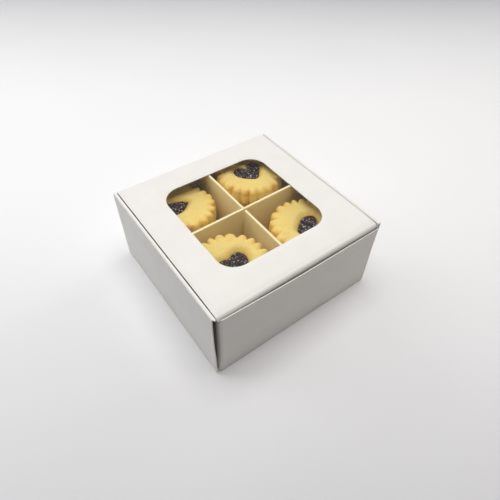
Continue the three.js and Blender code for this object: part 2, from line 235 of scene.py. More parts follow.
class NodeSheet:
    """A shader node tree, with short calls to add and join nodes."""

    def __init__(self, tree: bpy.types.NodeTree) -> None:
        """Takes the tree that the nodes go into."""
        self.tree = tree

    def feed(self, node: bpy.types.Node, inputs: dict) -> None:
        """Joins sockets to a node's inputs, or sets plain values and colours on them.

        Args:
            node: The node that is fed.
            inputs: What each input gets, by its name or number.
        """
        for name, value in inputs.items():
            socket = node.inputs[name]
            if isinstance(value, bpy.types.NodeSocket):
                self.tree.links.new(value, socket)
            else:
                socket.default_value = (*value, 1.0) if socket.type == "RGBA" else value

    def add(self, kind: str, inputs: dict | None = None, **settings: object) -> bpy.types.Node:
        """Adds one node.

        Args:
            kind: The node's type without its ShaderNode prefix.
            inputs: What its inputs get, by their names or numbers.
            settings: The node's own properties.

        Returns:
            The new node.
        """
        node = self.tree.nodes.new(f"ShaderNode{kind}")
        for name, value in settings.items():
            setattr(node, name, value)
        self.feed(node, inputs or {})
        return node

    def math(self, operation: str, *values: object) -> bpy.types.NodeSocket:
        """Works out one sum of values or sockets."""
        return self.add("Math", dict(enumerate(values)), operation=operation).outputs[0]

    def blend(self, share: object, first: object, second: object) -> bpy.types.NodeSocket:
        """Mixes two colours by a mask and gives the mixed colour."""
        inputs = {0: share, MIX_FIRST: first, MIX_SECOND: second}
        return self.add("Mix", inputs, data_type="RGBA").outputs[MIX_RESULT]

    def rescale(self, value: object, source: Span, target: Span) -> bpy.types.NodeSocket:
        """Maps a value from one span to another, clamped."""
        return self.add("MapRange", dict(enumerate((value, *source, *target)))).outputs[0]

    def cloud(
        self, place: object, scale: object, detail: float, roughness: float = 0.5
    ) -> bpy.types.NodeSocket:
        """Adds cloudy noise with finer layers over it, about 0.5 on the whole."""
        inputs = {"Vector": place, "Scale": scale, "Detail": detail, "Roughness": roughness}
        return self.add("TexNoise", inputs).outputs[0]

    def bump(self, height: object, relief: float, depth: float) -> bpy.types.NodeSocket:
        """Turns a height into a normal."""
        inputs = {"Strength": relief, "Distance": depth, "Height": height}
        return self.add("Bump", inputs).outputs[0]


@dataclass(frozen=True)
class SharedEffect:
    """A shader node group that several finishes use, built when it is first asked for."""

    name: str
    inputs: tuple[str, ...]
    outputs: tuple[str, ...]
    wire: Callable[[NodeSheet, dict], dict]

    def tree(self) -> bpy.types.NodeTree:
        """Gives the group, which has a vector input, value inputs and value outputs.

        Returns:
            The group's node tree.
        """
        existing = bpy.data.node_groups.get(self.name)
        if existing:
            return existing
        tree = bpy.data.node_groups.new(self.name, "ShaderNodeTree")
        tree.interface.new_socket("Vector", in_out="INPUT", socket_type="NodeSocketVector")
        for way, labels in (("INPUT", self.inputs), ("OUTPUT", self.outputs)):
            for label in labels:
                tree.interface.new_socket(label, in_out=way, socket_type="NodeSocketFloat")
        entry = tree.nodes.new("NodeGroupInput")
        given = {label: entry.outputs[label] for label in ("Vector", *self.inputs)}
        sheet = NodeSheet(tree)
        sheet.feed(tree.nodes.new("NodeGroupOutput"), self.wire(sheet, given))
        return tree

    def lay(self, sheet: NodeSheet, place: object, *values: float) -> bpy.types.Node:
        """Places the group in a material, with that material's own values."""
        inputs = dict(zip(("Vector", *self.inputs), (place, *values)))
        return sheet.add("Group", inputs, node_tree=self.tree())


def wire_fibre(sheet: NodeSheet, given: dict) -> dict:
    """Wires the cloudy mottle and short lying fibres of pressed board.

    Args:
        sheet: The group's sheet.
        given: The group's input sockets by name.

    Returns:
        What the group puts out, by name.
    """
    stretch = (1.0, 0.3, 0.6)
    lying = sheet.add("VectorMath", {0: given["Vector"], 1: stretch}, operation="MULTIPLY")
    cloud = sheet.cloud(given["Vector"], given["Cloud Scale"], detail=3.0)
    fibre = sheet.cloud(lying.outputs[0], given["Fibre Scale"], detail=4.0, roughness=0.65)
    return {"Cloud": sheet.rescale(cloud, NOISE_SPAN, FULL), "Fibre": fibre}


def wire_specks(sheet: NodeSheet, given: dict) -> dict:
    """Wires scattered round specks, for the dough's pores and the jam's seeds, which are partly
    painted glints.

    Args:
        sheet: The group's sheet.
        given: The group's input sockets by name.

    Returns:
        What the group puts out, by name.
    """
    speck_edge = (0.2, 0.42)
    cells = sheet.add("TexVoronoi", {"Vector": given["Vector"], "Scale": given["Scale"]})
    chance = sheet.add("SeparateColor", {0: cells.outputs["Color"]})
    chosen = sheet.math("LESS_THAN", chance.outputs[0], given["Share"])
    spot = sheet.rescale(cells.outputs["Distance"], speck_edge, FULL[::-1])
    return {"Specks": sheet.math("MULTIPLY", spot, chosen), "Grain": cells.outputs["Distance"]}


FIBRE = SharedEffect("board_fibre", ("Cloud Scale", "Fibre Scale"), ("Cloud", "Fibre"), wire_fibre)
SPECKS = SharedEffect("scattered_specks", ("Scale", "Share"), ("Specks", "Grain"), wire_specks)


def new_material(
    name: str,
) -> tuple[bpy.types.Material, NodeSheet, bpy.types.Node, bpy.types.NodeSocket]:
    """Starts a material on Object coordinates.

    Args:
        name: The material's name.

    Returns:
        The material, its sheet, its Principled node and its object coordinates.
    """
    material = bpy.data.materials.new(name)
    material.use_nodes = True
    sheet = NodeSheet(material.node_tree)
    surface = material.node_tree.nodes["Principled BSDF"]
    return material, sheet, surface, sheet.add("TexCoord").outputs["Object"]


@dataclass(frozen=True)
class BoardFinish:
    """Pressed board: two close shades in a mottle, fine lying fibres, and painted shade deep in a
    fold.
    """

    name: str
    pale: Colour
    shade: Colour
    roughness: float = 0.62
    cloud_scale: float = 90.0
    fibre_scale: float = 2600.0
    relief: float = 0.12
    relief_depth: float = 0.06 * MM
    streak: float = 0.5
    unevenness: float = 0.06
    specular: float = 0.35
    # painted shade: the colour that the board is darkened to deep in a fold's slot
    painted_fold_shade: Colour = (0.3, 0.285, 0.265)

    @classmethod
    def cut_edge(cls, name: str, pale: Colour, shade: Colour) -> "BoardFinish":
        """The rougher finish of a board's cut edge."""
        return cls(name, pale, shade, 0.8, cloud_scale=700.0, fibre_scale=4200.0, relief=0.3)

    def material(self) -> bpy.types.Material:
        """Builds the board's material.

        Returns:
            The material.
        """
        material, sheet, surface, place = new_material(self.name)
        pressed = FIBRE.lay(sheet, place, self.cloud_scale, self.fibre_scale)
        fibre = pressed.outputs["Fibre"]
        streak = sheet.math("MULTIPLY_ADD", fibre, self.streak, -self.streak / 2)
        share = sheet.math("ADD", pressed.outputs["Cloud"], streak)
        board = sheet.blend(share, self.pale, self.shade)
        # painted shade: how deep in a fold's slot each point lies
        fold = sheet.add("Attribute", attribute_name=PAINTED_SHADE_ATTRIBUTE).outputs["Fac"]
        rough = (self.roughness - self.unevenness, self.roughness + self.unevenness)
        sheet.feed(surface, {
            "Base Color": sheet.blend(fold, board, self.painted_fold_shade),
            "Roughness": sheet.rescale(fibre, WIDE_SPAN, rough),
            "Normal": sheet.bump(fibre, self.relief, self.relief_depth),
            "Specular IOR Level": self.specular,
        })
        return material


@dataclass(frozen=True)
class FilmFinish:
    """Thin clear film: see-through, with a mirror-like sheen that grows at a low angle."""

    name: str = "clear_film"
    tint: Colour = (0.97, 0.98, 0.98)
    head_on: float = 0.045
    sheen_power: float = 5.0
    roughness: float = 0.06
    unevenness: float = 0.4
    ripple_scale: float = 45.0

    def material(self) -> bpy.types.Material:
        """Builds the film's material.

        Returns:
            The material.
        """
        material, sheet, surface, place = new_material(self.name)
        facing = sheet.add("LayerWeight", {"Blend": 0.5}).outputs["Facing"]
        rise = sheet.math("POWER", facing, self.sheen_power)
        ripple = sheet.cloud(place, self.ripple_scale, detail=1.0)
        rough = (self.roughness * (1 - self.unevenness), self.roughness * (1 + self.unevenness))
        sheet.feed(surface, {
            "Alpha": sheet.math("MULTIPLY_ADD", rise, 1.0 - self.head_on, self.head_on),
            "Roughness": sheet.rescale(ripple, NOISE_SPAN, rough),
            "Base Color": self.tint,
            "Metallic": 1.0,
        })
        return material


@dataclass(frozen=True)
class DoughFinish:
    """Shortbread: pale gold on top, browner down its sides, with pores and a sandy crumb."""

    name: str = "baked_dough"
    shades: tuple[tuple[float, Colour], ...] = (
        (0.0, (0.9, 0.7, 0.235)),
        (0.3, (0.9, 0.63, 0.15)),
        (0.65, (0.76, 0.42, 0.07)),
        (1.0, (0.4, 0.17, 0.03)),
    )
    patch_scale: float = 190.0
    patch_span: Span = (0.25, 0.75)
    patch_depth: float = 0.12
    pore: Colour = (0.62, 0.36, 0.09)
    pore_scale: float = 900.0
    pore_share: float = 0.16
    pore_strength: float = 0.4
    crumb_scale: float = 1500.0
    relief: float = 0.35
    relief_depth: float = 0.25 * MM
    roughness: Span = (0.6, 0.8)
    glow: float = 0.25
    glow_reach: Triple = (1.0, 0.6, 0.25)
    glow_depth: float = 1.2 * MM
    specular: float = 0.3

    def material(self) -> bpy.types.Material:
        """Builds the dough's material, which reads how browned each point is, painted shade
        included.

        Returns:
            The material.
        """
        material, sheet, surface, place = new_material(self.name)
        # browning, with painted shade in the flutes' grooves and round the jam
        browned = sheet.add("Attribute", attribute_name=BROWNING_AND_SHADE).outputs["Fac"]
        patch = sheet.cloud(place, self.patch_scale, detail=4.0, roughness=0.6)
        uneven = sheet.rescale(patch, self.patch_span, (-self.patch_depth, self.patch_depth))
        baked = self.add_ramp(sheet, sheet.math("ADD", browned, uneven))
        specks = SPECKS.lay(sheet, place, self.pore_scale, self.pore_share)
        pores = specks.outputs["Specks"]
        faint = sheet.math("MULTIPLY", pores, self.pore_strength)
        crumb = sheet.cloud(place, self.crumb_scale, detail=5.0, roughness=0.7)
        height = sheet.math("SUBTRACT", crumb, pores)
        sheet.feed(surface, {
            "Base Color": sheet.blend(faint, baked, self.pore),
            "Roughness": sheet.rescale(crumb, WIDE_SPAN, self.roughness),
            "Normal": sheet.bump(height, self.relief, self.relief_depth),
            "Subsurface Weight": self.glow,
            "Subsurface Radius": self.glow_reach,
            "Subsurface Scale": self.glow_depth,
            "Specular IOR Level": self.specular,
        })
        return material

    def add_ramp(self, sheet: NodeSheet, share: bpy.types.NodeSocket) -> bpy.types.NodeSocket:
        """Adds the ramp of baked shades.

        Args:
            sheet: The material's sheet.
            share: How browned a point is.

        Returns:
            The baked colour.
        """
        ramp = sheet.add("ValToRGB", {0: share})
        stops = ramp.color_ramp.elements
        while len(stops) < len(self.shades):
            stops.new(0.5)
        for stop, (position, colour) in zip(stops, self.shades):
            stop.position = position
            stop.color = (*colour, 1.0)
        return ramp.outputs[0]


@dataclass(frozen=True)
class JamFinish:
    """Dark berry jam: glossy, nearly black, with pale seeds near its surface, partly real seeds and
    partly painted glints.
    """

    name: str = "berry_jam"
    deep: Colour = (0.008, 0.004, 0.008)
    thin: Colour = (0.035, 0.012, 0.02)
    cloud_scale: float = 500.0
    cloud_span: Span = (0.4, 0.7)
    # pale specks: partly real seeds, partly painted glints on the jam
    seed: Colour = (0.5, 0.44, 0.42)
    seed_glint_scale: float = 760.0
    seed_glint_share: float = 0.5
    relief: float = 0.5
    relief_depth: float = 0.25 * MM
    roughness: Span = (0.12, 0.28)
    specular: float = 0.25
    coat: float = 0.2
    coat_roughness: float = 0.05

    def material(self) -> bpy.types.Material:
        """Builds the jam's material.

        Returns:
            The material.
        """
        material, sheet, surface, place = new_material(self.name)
        cloud = sheet.cloud(place, self.cloud_scale, detail=3.0)
        body = sheet.blend(sheet.rescale(cloud, self.cloud_span, FULL), self.deep, self.thin)
        # pale specks, partly real seeds and partly painted glints
        seeds = SPECKS.lay(sheet, place, self.seed_glint_scale, self.seed_glint_share)
        sheet.feed(surface, {
            "Base Color": sheet.blend(seeds.outputs["Specks"], body, self.seed),
            "Roughness": sheet.rescale(cloud, NOISE_SPAN, self.roughness),
            "Normal": sheet.bump(seeds.outputs["Grain"], self.relief, self.relief_depth),
            "Specular IOR Level": self.specular,
            "Coat Weight": self.coat,
            "Coat Roughness": self.coat_roughness,
        })
        return material


@dataclass(frozen=True)
class FloorFinish:
    """The pale table, with painted light falloff: palest along a line behind the box, with a hardly
    visible cloud.
    """

    name: str = "pale_floor"
    pale: Colour = (0.85, 0.85, 0.861)
    # the colour where the painted light falloff is fullest
    shade: Colour = (0.53, 0.532, 0.556)
    backward: Triple = (0.57, 0.82, 0.0)
    palest: float = 0.175
    fade: float = 0.365
    near_power: float = 3.0
    far_power: float = 2.0
    cloud_scale: float = 4.0
    cloud_depth: float = 0.04
    roughness: float = 0.7
    specular: float = 0.2

    def material(self) -> bpy.types.Material:
        """Builds the floor's material, with painted light falloff: greyer towards the front and far
        behind.

        Returns:
            The material.
        """
        material, sheet, surface, place = new_material(self.name)
        cloud = sheet.cloud(place, self.cloud_scale, detail=2.0)
        uneven = sheet.rescale(cloud, NOISE_SPAN, (-self.cloud_depth, self.cloud_depth))
        # painted light falloff: palest along a line behind the box, greyer towards the front and
        # far behind, plus a faint cloud
        inputs = {0: place, 1: self.backward}
        along = sheet.add("VectorMath", inputs, operation="DOT_PRODUCT").outputs["Value"]
        nearer = sheet.rescale(along, (self.palest, self.palest - self.fade), FULL)
        farther = sheet.rescale(along, (self.palest, self.palest + self.fade), FULL)
        near_painted_falloff = sheet.math("POWER", nearer, self.near_power)
        far_painted_falloff = sheet.math("POWER", farther, self.far_power)
        painted_falloff_and_cloud = sheet.math("ADD", sheet.math("ADD", near_painted_falloff, far_painted_falloff), uneven)
        sheet.feed(surface, {
            "Base Color": sheet.blend(painted_falloff_and_cloud, self.pale, self.shade),
            "Roughness": self.roughness,
            "Specular IOR Level": self.specular,
        })
        return material


@dataclass(frozen=True)
class Finishes:
    """Every material of the box, built once."""

    carton: bpy.types.Material
    carton_edge: bpy.types.Material
    insert: bpy.types.Material
    insert_edge: bpy.types.Material
    film: bpy.types.Material
    dough: bpy.types.Material
    jam: bpy.types.Material

    @classmethod
    def mix(cls) -> "Finishes":
        """Builds the materials in the photograph's colours.

        Returns:
            The finishes.
        """
        carton = BoardFinish("white_board", (0.8, 0.787, 0.76), (0.773, 0.759, 0.732))
        carton_edge = BoardFinish.cut_edge(
            "white_board_edge", (0.86, 0.835, 0.78), (0.81, 0.775, 0.71)
        )
        insert = BoardFinish(
            "insert_board", (0.97, 0.82, 0.43), (0.94, 0.78, 0.39), 0.7, cloud_scale=120.0
        )
        insert_edge = BoardFinish.cut_edge(
            "insert_board_edge", (1.0, 0.9, 0.58), (0.98, 0.87, 0.54)
        )
        others = (FilmFinish(), DoughFinish(), JamFinish())
        made = (carton, carton_edge, insert, insert_edge, *others)
        return cls(*(finish.material() for finish in made))


def clear_selection() -> None:
    """Deselects every object."""
    bpy.ops.object.select_all(action="DESELECT")


class Workpiece:
    """One piece on the bench: a primitive that operators shape in edit mode."""

    def __init__(self, name: str) -> None:
        """Takes over the primitive that was just added and settles its place into its mesh.

        Args:
            name: The piece's name.
        """
        self.obj = bpy.context.active_object
        self.obj.name = name
        self.obj.data.name = name
        bpy.ops.object.transform_apply(location=True, rotation=True, scale=True)

    @classmethod
    def panel(cls, name: str, middle: Vector, size: Pair, facing: Facing) -> "Workpiece":
        """Starts a flat panel.

        Args:
            name: The piece's name.
            middle: The middle of its outer face.
            size: Its width and height.
            facing: The way its outer face looks.

        Returns:
            The panel, ready to shape.
        """
        clear_selection()
        bpy.ops.mesh.primitive_plane_add(size=1.0, location=middle, rotation=facing.turn)
        bpy.context.active_object.scale = (*size, 1.0)
        return cls(name)

    def hold(self) -> None:
        """Makes this piece the one that operators act on."""
        clear_selection()
        self.obj.select_set(True)
        bpy.context.view_layer.objects.active = self.obj

    @contextmanager
    def edit(self) -> Iterator[None]:
        """Opens the piece in edit mode and closes it again.

        Yields:
            Nothing, while the piece is open.
        """
        self.hold()
        bpy.ops.object.mode_set(mode="EDIT")
        yield
        bpy.ops.object.mode_set(mode="OBJECT")

    def pick(self, kind: Pick, test: Test) -> None:
        """Selects what passes a test on its corners, and nothing else.

        Args:
            kind: Whether vertices, edges or faces are picked.
            test: Takes the places of one element's corners.
        """
        bpy.ops.mesh.select_mode(type=kind.value)
        bpy.ops.mesh.select_all(action="DESELECT")
        shape = bmesh.from_edit_mesh(self.obj.data)
        found = {Pick.VERTS: shape.verts, Pick.EDGES: shape.edges, Pick.FACES: shape.faces}[kind]
        for element in found:
            corners = [element] if kind is Pick.VERTS else element.verts
            element.select_set(bool(test([corner.co for corner in corners])))
        shape.select_flush_mode()
        bmesh.update_edit_mesh(self.obj.data)

    def pick_all(self) -> None:
        """Selects the whole piece."""
        bpy.ops.mesh.select_all(action="SELECT")

    def extrude(self, *move: float) -> None:
        """Extrudes what is picked by a distance along each axis."""
        bpy.ops.mesh.extrude_region_move(TRANSFORM_OT_translate={"value": move})

    def round_off(self, radius: float, steps: int, kind: Pick = Pick.EDGES) -> None:
        """Rounds the picked folds, or the picked corners of a flat outline.

        Args:
            radius: The rounding's radius.
            steps: How many faces it has.
            kind: EDGES for folds, VERTS for corners.
        """
        affect = "VERTICES" if kind is Pick.VERTS else "EDGES"
        bpy.ops.mesh.bevel(
            offset_type="OFFSET", offset=radius, segments=steps, profile=0.5, affect=affect
        )

    def cut(self, point: Vector, normal: Vector) -> None:
        """Adds a line of edges where a plane crosses the piece."""
        self.pick_all()
        bpy.ops.mesh.bisect(plane_co=point, plane_no=normal)

    def cut_across(self, stations: Iterable[float]) -> None:
        """Adds upright lines of edges at places along X."""
        for station in stations:
            self.cut(X_AXIS * station, X_AXIS)

    def split(self, cuts: int) -> None:
        """Divides what is picked more finely."""
        bpy.ops.mesh.subdivide(number_cuts=cuts)

    def face_out(self, facing: Facing) -> None:
        """Makes an open sheet's faces agree, with its outermost face looking outward.

        Args:
            facing: The way that face looks.
        """
        self.pick_all()
        bpy.ops.mesh.remove_doubles(threshold=MERGE)
        bpy.ops.mesh.normals_make_consistent(inside=False)
        faces = bmesh.from_edit_mesh(self.obj.data).faces
        outward = facing.outward
        outermost = max(faces, key=lambda face: face.calc_center_median().dot(outward))
        if outermost.normal.dot(outward) < 0:
            bpy.ops.mesh.flip_normals()

    def points(self, reading: Reading) -> np.ndarray:
        """Reads the places or the normals of the mesh's points.

        Args:
            reading: Which of the two.

        Returns:
            The values, one point in each row.
        """
        values = np.empty(3 * len(self.obj.data.vertices))
        self.obj.data.vertices.foreach_get(reading.value, values)
        return values.reshape(-1, 3)

    def reshape(self, move: Callable[[np.ndarray], np.ndarray]) -> None:
        """Moves every point.

        Args:
            move: Takes the places of all points, and gives their new places.
        """
        moved = move(self.points(Reading.PLACES)).ravel()
        self.obj.data.vertices.foreach_set(Reading.PLACES.value, moved)
        self.obj.data.update()

    def note(self, name: str, values: np.ndarray) -> None:
        """Writes a value for each point that a material can read by its name."""
        noted = self.obj.data.attributes.new(name, "FLOAT", "POINT")
        noted.data.foreach_set("value", values.astype(np.float32))

    def apply(self, kind: str, **settings: object) -> None:
        """Adds a modifier and applies it.

        Args:
            kind: The modifier's type.
            settings: Its settings.
        """
        self.hold()
        modifier = self.obj.modifiers.new(kind.lower(), kind)
        for name, value in settings.items():
            setattr(modifier, name, value)
        bpy.ops.object.modifier_apply(modifier=modifier.name)

    def thicken(
        self,
        board: float,
        worn: float,
        face: bpy.types.Material,
        edge: bpy.types.Material,
        middle: bool = False,
    ) -> None:
        """Gives a sheet its board's thickness.

        Args:
            board: The board's thickness.
            worn: How far its cut edges are worn round.
            face: The material of its faces.
            edge: The material of its cut edges.
            middle: True where the sheet lies in the middle of the board, not on its outer face.
        """
        self.paint(face, edge)
        self.apply(
            "SOLIDIFY",
            thickness=board,
            offset=0.0 if middle else -1.0,
            use_even_offset=True,
            material_offset_rim=1,
        )
        wear = {"limit_method": "ANGLE", "angle_limit": WEAR_ANGLE, "segments": WEAR_STEPS}
        self.apply("BEVEL", width=worn, **wear)
        self.smooth(SHEET_SMOOTH)

    def smooth(self, degrees: float) -> None:
        """Shades the piece smoothly across edges under an angle."""
        self.hold()
        bpy.ops.object.shade_smooth_by_angle(angle=math.radians(degrees))

    def place(self, turn: float, move: Vector = ORIGIN, about: Vector = ORIGIN) -> None:
        """Turns the piece, moves it and settles that into its mesh.

        Args:
            turn: The turn about a vertical line.
            move: The move after it.
            about: Where the vertical line stands.
        """
        turned = Matrix.Rotation(turn, 4, "Z") @ Matrix.Translation(-about)
        self.obj.data.transform(Matrix.Translation(move + about) @ turned)
        self.obj.data.update()

    def keep_within(self, low: Vector, high: Vector) -> None:
        """Presses the piece's outermost points back to a box."""
        self.reshape(lambda places: np.clip(places, np.array(low), np.array(high)))

    def copy(self, name: str) -> "Workpiece":
        """Copies the piece with a mesh of its own.

        Args:
            name: The copy's name.

        Returns:
            The copy.
        """
        self.hold()
        bpy.ops.object.duplicate(linked=False)
        return Workpiece(name)

    def scrap(self) -> None:
        """Takes a pattern off the bench once its copies are made."""
        mesh = self.obj.data
        bpy.data.objects.remove(self.obj)
        bpy.data.meshes.remove(mesh)

    def paint(self, *materials: bpy.types.Material) -> None:
        """Gives the piece its materials."""
        for material in materials:
            self.obj.data.materials.append(material)

    def dress(self, slot: str, *nodes: str) -> None:
        """Hides the CAD nodes that the piece replaces and logs its faces.

        Args:
            slot: The record's material slot; not used.
            nodes: The CAD nodes that it replaces.
        """
        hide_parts(*nodes)
        LOG.info("%s: %d faces", self.obj.name, len(self.obj.data.polygons))


@dataclass(frozen=True)
class Board:
    """The carton's board, and how it folds and wears."""

    thickness: float
    height: float
    limits: tuple[Vector, Vector]
    face: bpy.types.Material
    edge: bpy.types.Material
    fold: float = 0.9 * MM
    fold_steps: int = 5
    fineness: int = 3
    worn: float = 0.05 * MM
    slot: str = "white_board"

    @classmethod
    def from_frame(cls, finishes: Finishes) -> "Board":
        """Reads the board's thickness, the carton's height and its outer box from the frame.

        Args:
            finishes: The materials of the box.

        Returns:
            The board.
        """
        low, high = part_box("base_panel")
        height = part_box("left_top_fold")[1].z
        return cls(high.z - low.z, height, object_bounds(), finishes.carton, finishes.carton_edge)

    def refine(self, work: Workpiece) -> None:
        """Divides a folded sheet finely enough to bow, its faces out.

        Args:
            work: The sheet, in edit mode.
        """
        work.pick_all()
        work.split(self.fineness)
        work.face_out(Facing.FRONT)

    def thicken(self, work: Workpiece) -> None:
        """Gives a folded sheet the board's thickness and finish."""
        work.thicken(self.thickness, self.worn, self.face, self.edge)

    def stand(self, work: Workpiece, turn: Turn, nodes: list[str]) -> bpy.types.Object:
        """Turns a wall that was modelled at the front to its side of the carton.

        Args:
            work: The wall.
            turn: The turn to its side.
            nodes: The CAD nodes that it replaces.

        Returns:
            The finished wall.
        """
        work.place(turn.value)
        work.keep_within(*self.limits)
        work.dress(self.slot, *nodes)
        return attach(work.obj, "tray")


@dataclass(frozen=True)
class Corner:
    """How an end wall folds round its corner and is drawn in from the side wall's outer ply.

    The shoulder, the flap's start and the span of the slot's painted shade are in radii of the
    fold.
    """

    radius: float = 0.9 * MM
    shoulder: float = 1.5
    flap_start: float = 2.0
    flap_straight: float = 6.0 * MM
    flap_back: float = 14.0 * MM
    draw: float = 0.0
    draw_reach: float = 8.0 * MM
    foot: float = 0.6
    foot_rise: float = 0.4
    # painted shade in the slot behind a drawn-in flap: where it starts and is full along the flap,
    # in radii, and the share of the wall's height over which it fades in
    dark: Span = (1.4, 3.0)
    dark_rise: float = 0.2


@dataclass
class EndWall:
    """The front or rear wall with the two corner flaps that go in between the side walls' plies."""

    side: str
    turn: Turn
    board: Board
    top: float
    bays: int = 5
    shoulder_cuts: int = 5
    flap_gap: float = 0.6 * MM
    flap_taper: float = 5.0 * MM
    bow: float = 0.3 * MM
    drop: Pair = (0.0, 0.0)
    corners: tuple[Corner, Corner] = (Corner(), Corner())

    def __post_init__(self) -> None:
        """Reads the wall's reach and its flaps' sizes from the frame."""
        low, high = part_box(f"{self.side}_right_corner_flap")
        self.reach = max(-low.y, high.y)
        self.half = high.x
        self.flap = high.y - low.y
        self.sides = list(zip(ENDS, self.corners))
        self.edges, self.shoulders = {}, {}
        for sign, corner in self.sides:
            self.edges[sign] = sign * (self.half - corner.draw)
            self.shoulders[sign] = self.edges[sign] - sign * corner.shoulder * corner.radius

    def build(self) -> bpy.types.Object:
        """Models the wall facing the front and turns it to its side.

        Returns:
            The finished wall.
        """
        fold, steps = self.board.fold, self.board.fold_steps
        left, right = self.edges.values()
        middle = Vector(((left + right) / 2, -self.reach, self.top / 2))
        size = (right - left, self.top)
        work = Workpiece.panel(f"{self.side}_wall_board", middle, size, Facing.FRONT)
        with work.edit():
            for sign, shoulder in self.shoulders.items():
                work.cut_across(shoulder - sign * cut * fold for cut in range(self.shoulder_cuts))
            for sign, corner in self.sides:
                work.pick(Pick.EDGES, lies_on(x=self.edges[sign]))
                start = corner.flap_start * corner.radius
                stops = (0, start, corner.flap_straight, corner.flap_back, self.flap)
                for near, far in zip(stops, stops[1:]):
                    work.extrude(0, far - near, 0)
            work.pick(Pick.EDGES, self.on_foot)
            work.extrude(0, fold, 0)
            for sign, corner in self.sides:
                work.pick(Pick.EDGES, lies_on(x=self.edges[sign], y=-self.reach))
                work.round_off(corner.radius, steps)
            work.pick(Pick.EDGES, self.on_foot)
            work.round_off(fold * SHY, steps)
        work.reshape(self.trim_flaps)
        with work.edit():
            shares = range(1 - self.bays, self.bays)
            work.cut_across(share * self.half / self.bays for share in shares)
            self.board.refine(work)
        work.reshape(self.settle)
        self.board.thicken(work)
        places, normals = work.points(Reading.PLACES), work.points(Reading.NORMALS)
        # paints shade deep in the slots behind the drawn-in flaps
        work.note(PAINTED_SHADE_ATTRIBUTE, self.painted_shade_in_fold(places, normals))
        flaps = [f"{self.side}_{end}_corner_flap" for end in ("left", "right")]
        return self.board.stand(work, self.turn, [f"{self.side}_wall", *flaps])

    def on_foot(self, ends: list[Vector]) -> bool:
        """Finds the wall's foot between its two shoulders.

        Args:
            ends: The places of an edge's ends.

        Returns:
            Whether the edge is part of it.
        """
        left, right = self.shoulders.values()
        inside = all(left - SNAP < end.x < right + SNAP for end in ends)
        return inside and lies_on(z=0, y=-self.reach)(ends)

    def trim_flaps(self, places: np.ndarray) -> np.ndarray:
        """Cuts the flaps' upper and lower edges back, more towards their free ends.

        Args:
            places: The sheet's points.

        Returns:
            Their new places.
        """
        depth = places[:, 1] + self.reach
        upper = places[:, 2] > self.top / 2
        for sign, corner in self.sides:
            start = PAST * corner.radius
            into = np.clip((depth - start) / (self.flap - start), 0, 1)
            on_flap = (sign * (places[:, 0] - self.edges[sign]) > -SNAP) & (depth > start)
            cut = self.flap_gap + self.flap_taper * into
            moved = np.where(upper, -cut, cut + self.board.fold)
            places[:, 2] += np.where(on_flap, moved, 0.0)
        return places

    def settle(self, places: np.ndarray) -> np.ndarray:
        """Leads drawn-in flaps back between the plies, lowers the upper edge and bows the wall.

        Args:
            places: The sheet's points.

        Returns:
            Their new places.
        """
        x, depth = places[:, 0].copy(), places[:, 1] + self.reach
        rise = np.clip(places[:, 2] / self.top, 0, 1)
        places[:, 1] += self.bow * (x / self.half) ** 2 * rise
        for sign, corner in self.sides:
            near = ease(-corner.draw_reach, 0, sign * (x - self.edges[sign]))
            back = ease(corner.flap_straight, corner.flap_back, depth)
            back = np.maximum(back, corner.foot * (1 - ease(0, corner.foot_rise, rise)))
            places[:, 0] += sign * corner.draw * near * back
        along = ease(-self.half, 0, x)
        places[:, 2] -= rise * (self.drop[0] * (1 - along) + self.drop[1] * along)
        return places

    def painted_shade_in_fold(self, places: np.ndarray, normals: np.ndarray) -> np.ndarray:
        """How much painted shade each point gets, by how deep it lies in the slot between a
        drawn-in flap and the outer ply.

        Args:
            places: The board's points.
            normals: Their normals.

        Returns:
            The shares of painted shade, from 0 to 1.
        """
        depth, rise = places[:, 1] + self.reach, places[:, 2] / self.top
        # the painted shade of each point
        deep = np.zeros(len(places))
        for sign, corner in self.sides:
            if corner.draw:
                start, full = (corner.radius * share for share in corner.dark)
                outside = sign * normals[:, 0] > FACES_OUT
                deep += outside * ease(start, full, depth) * ease(0, corner.dark_rise, rise)
        return deep


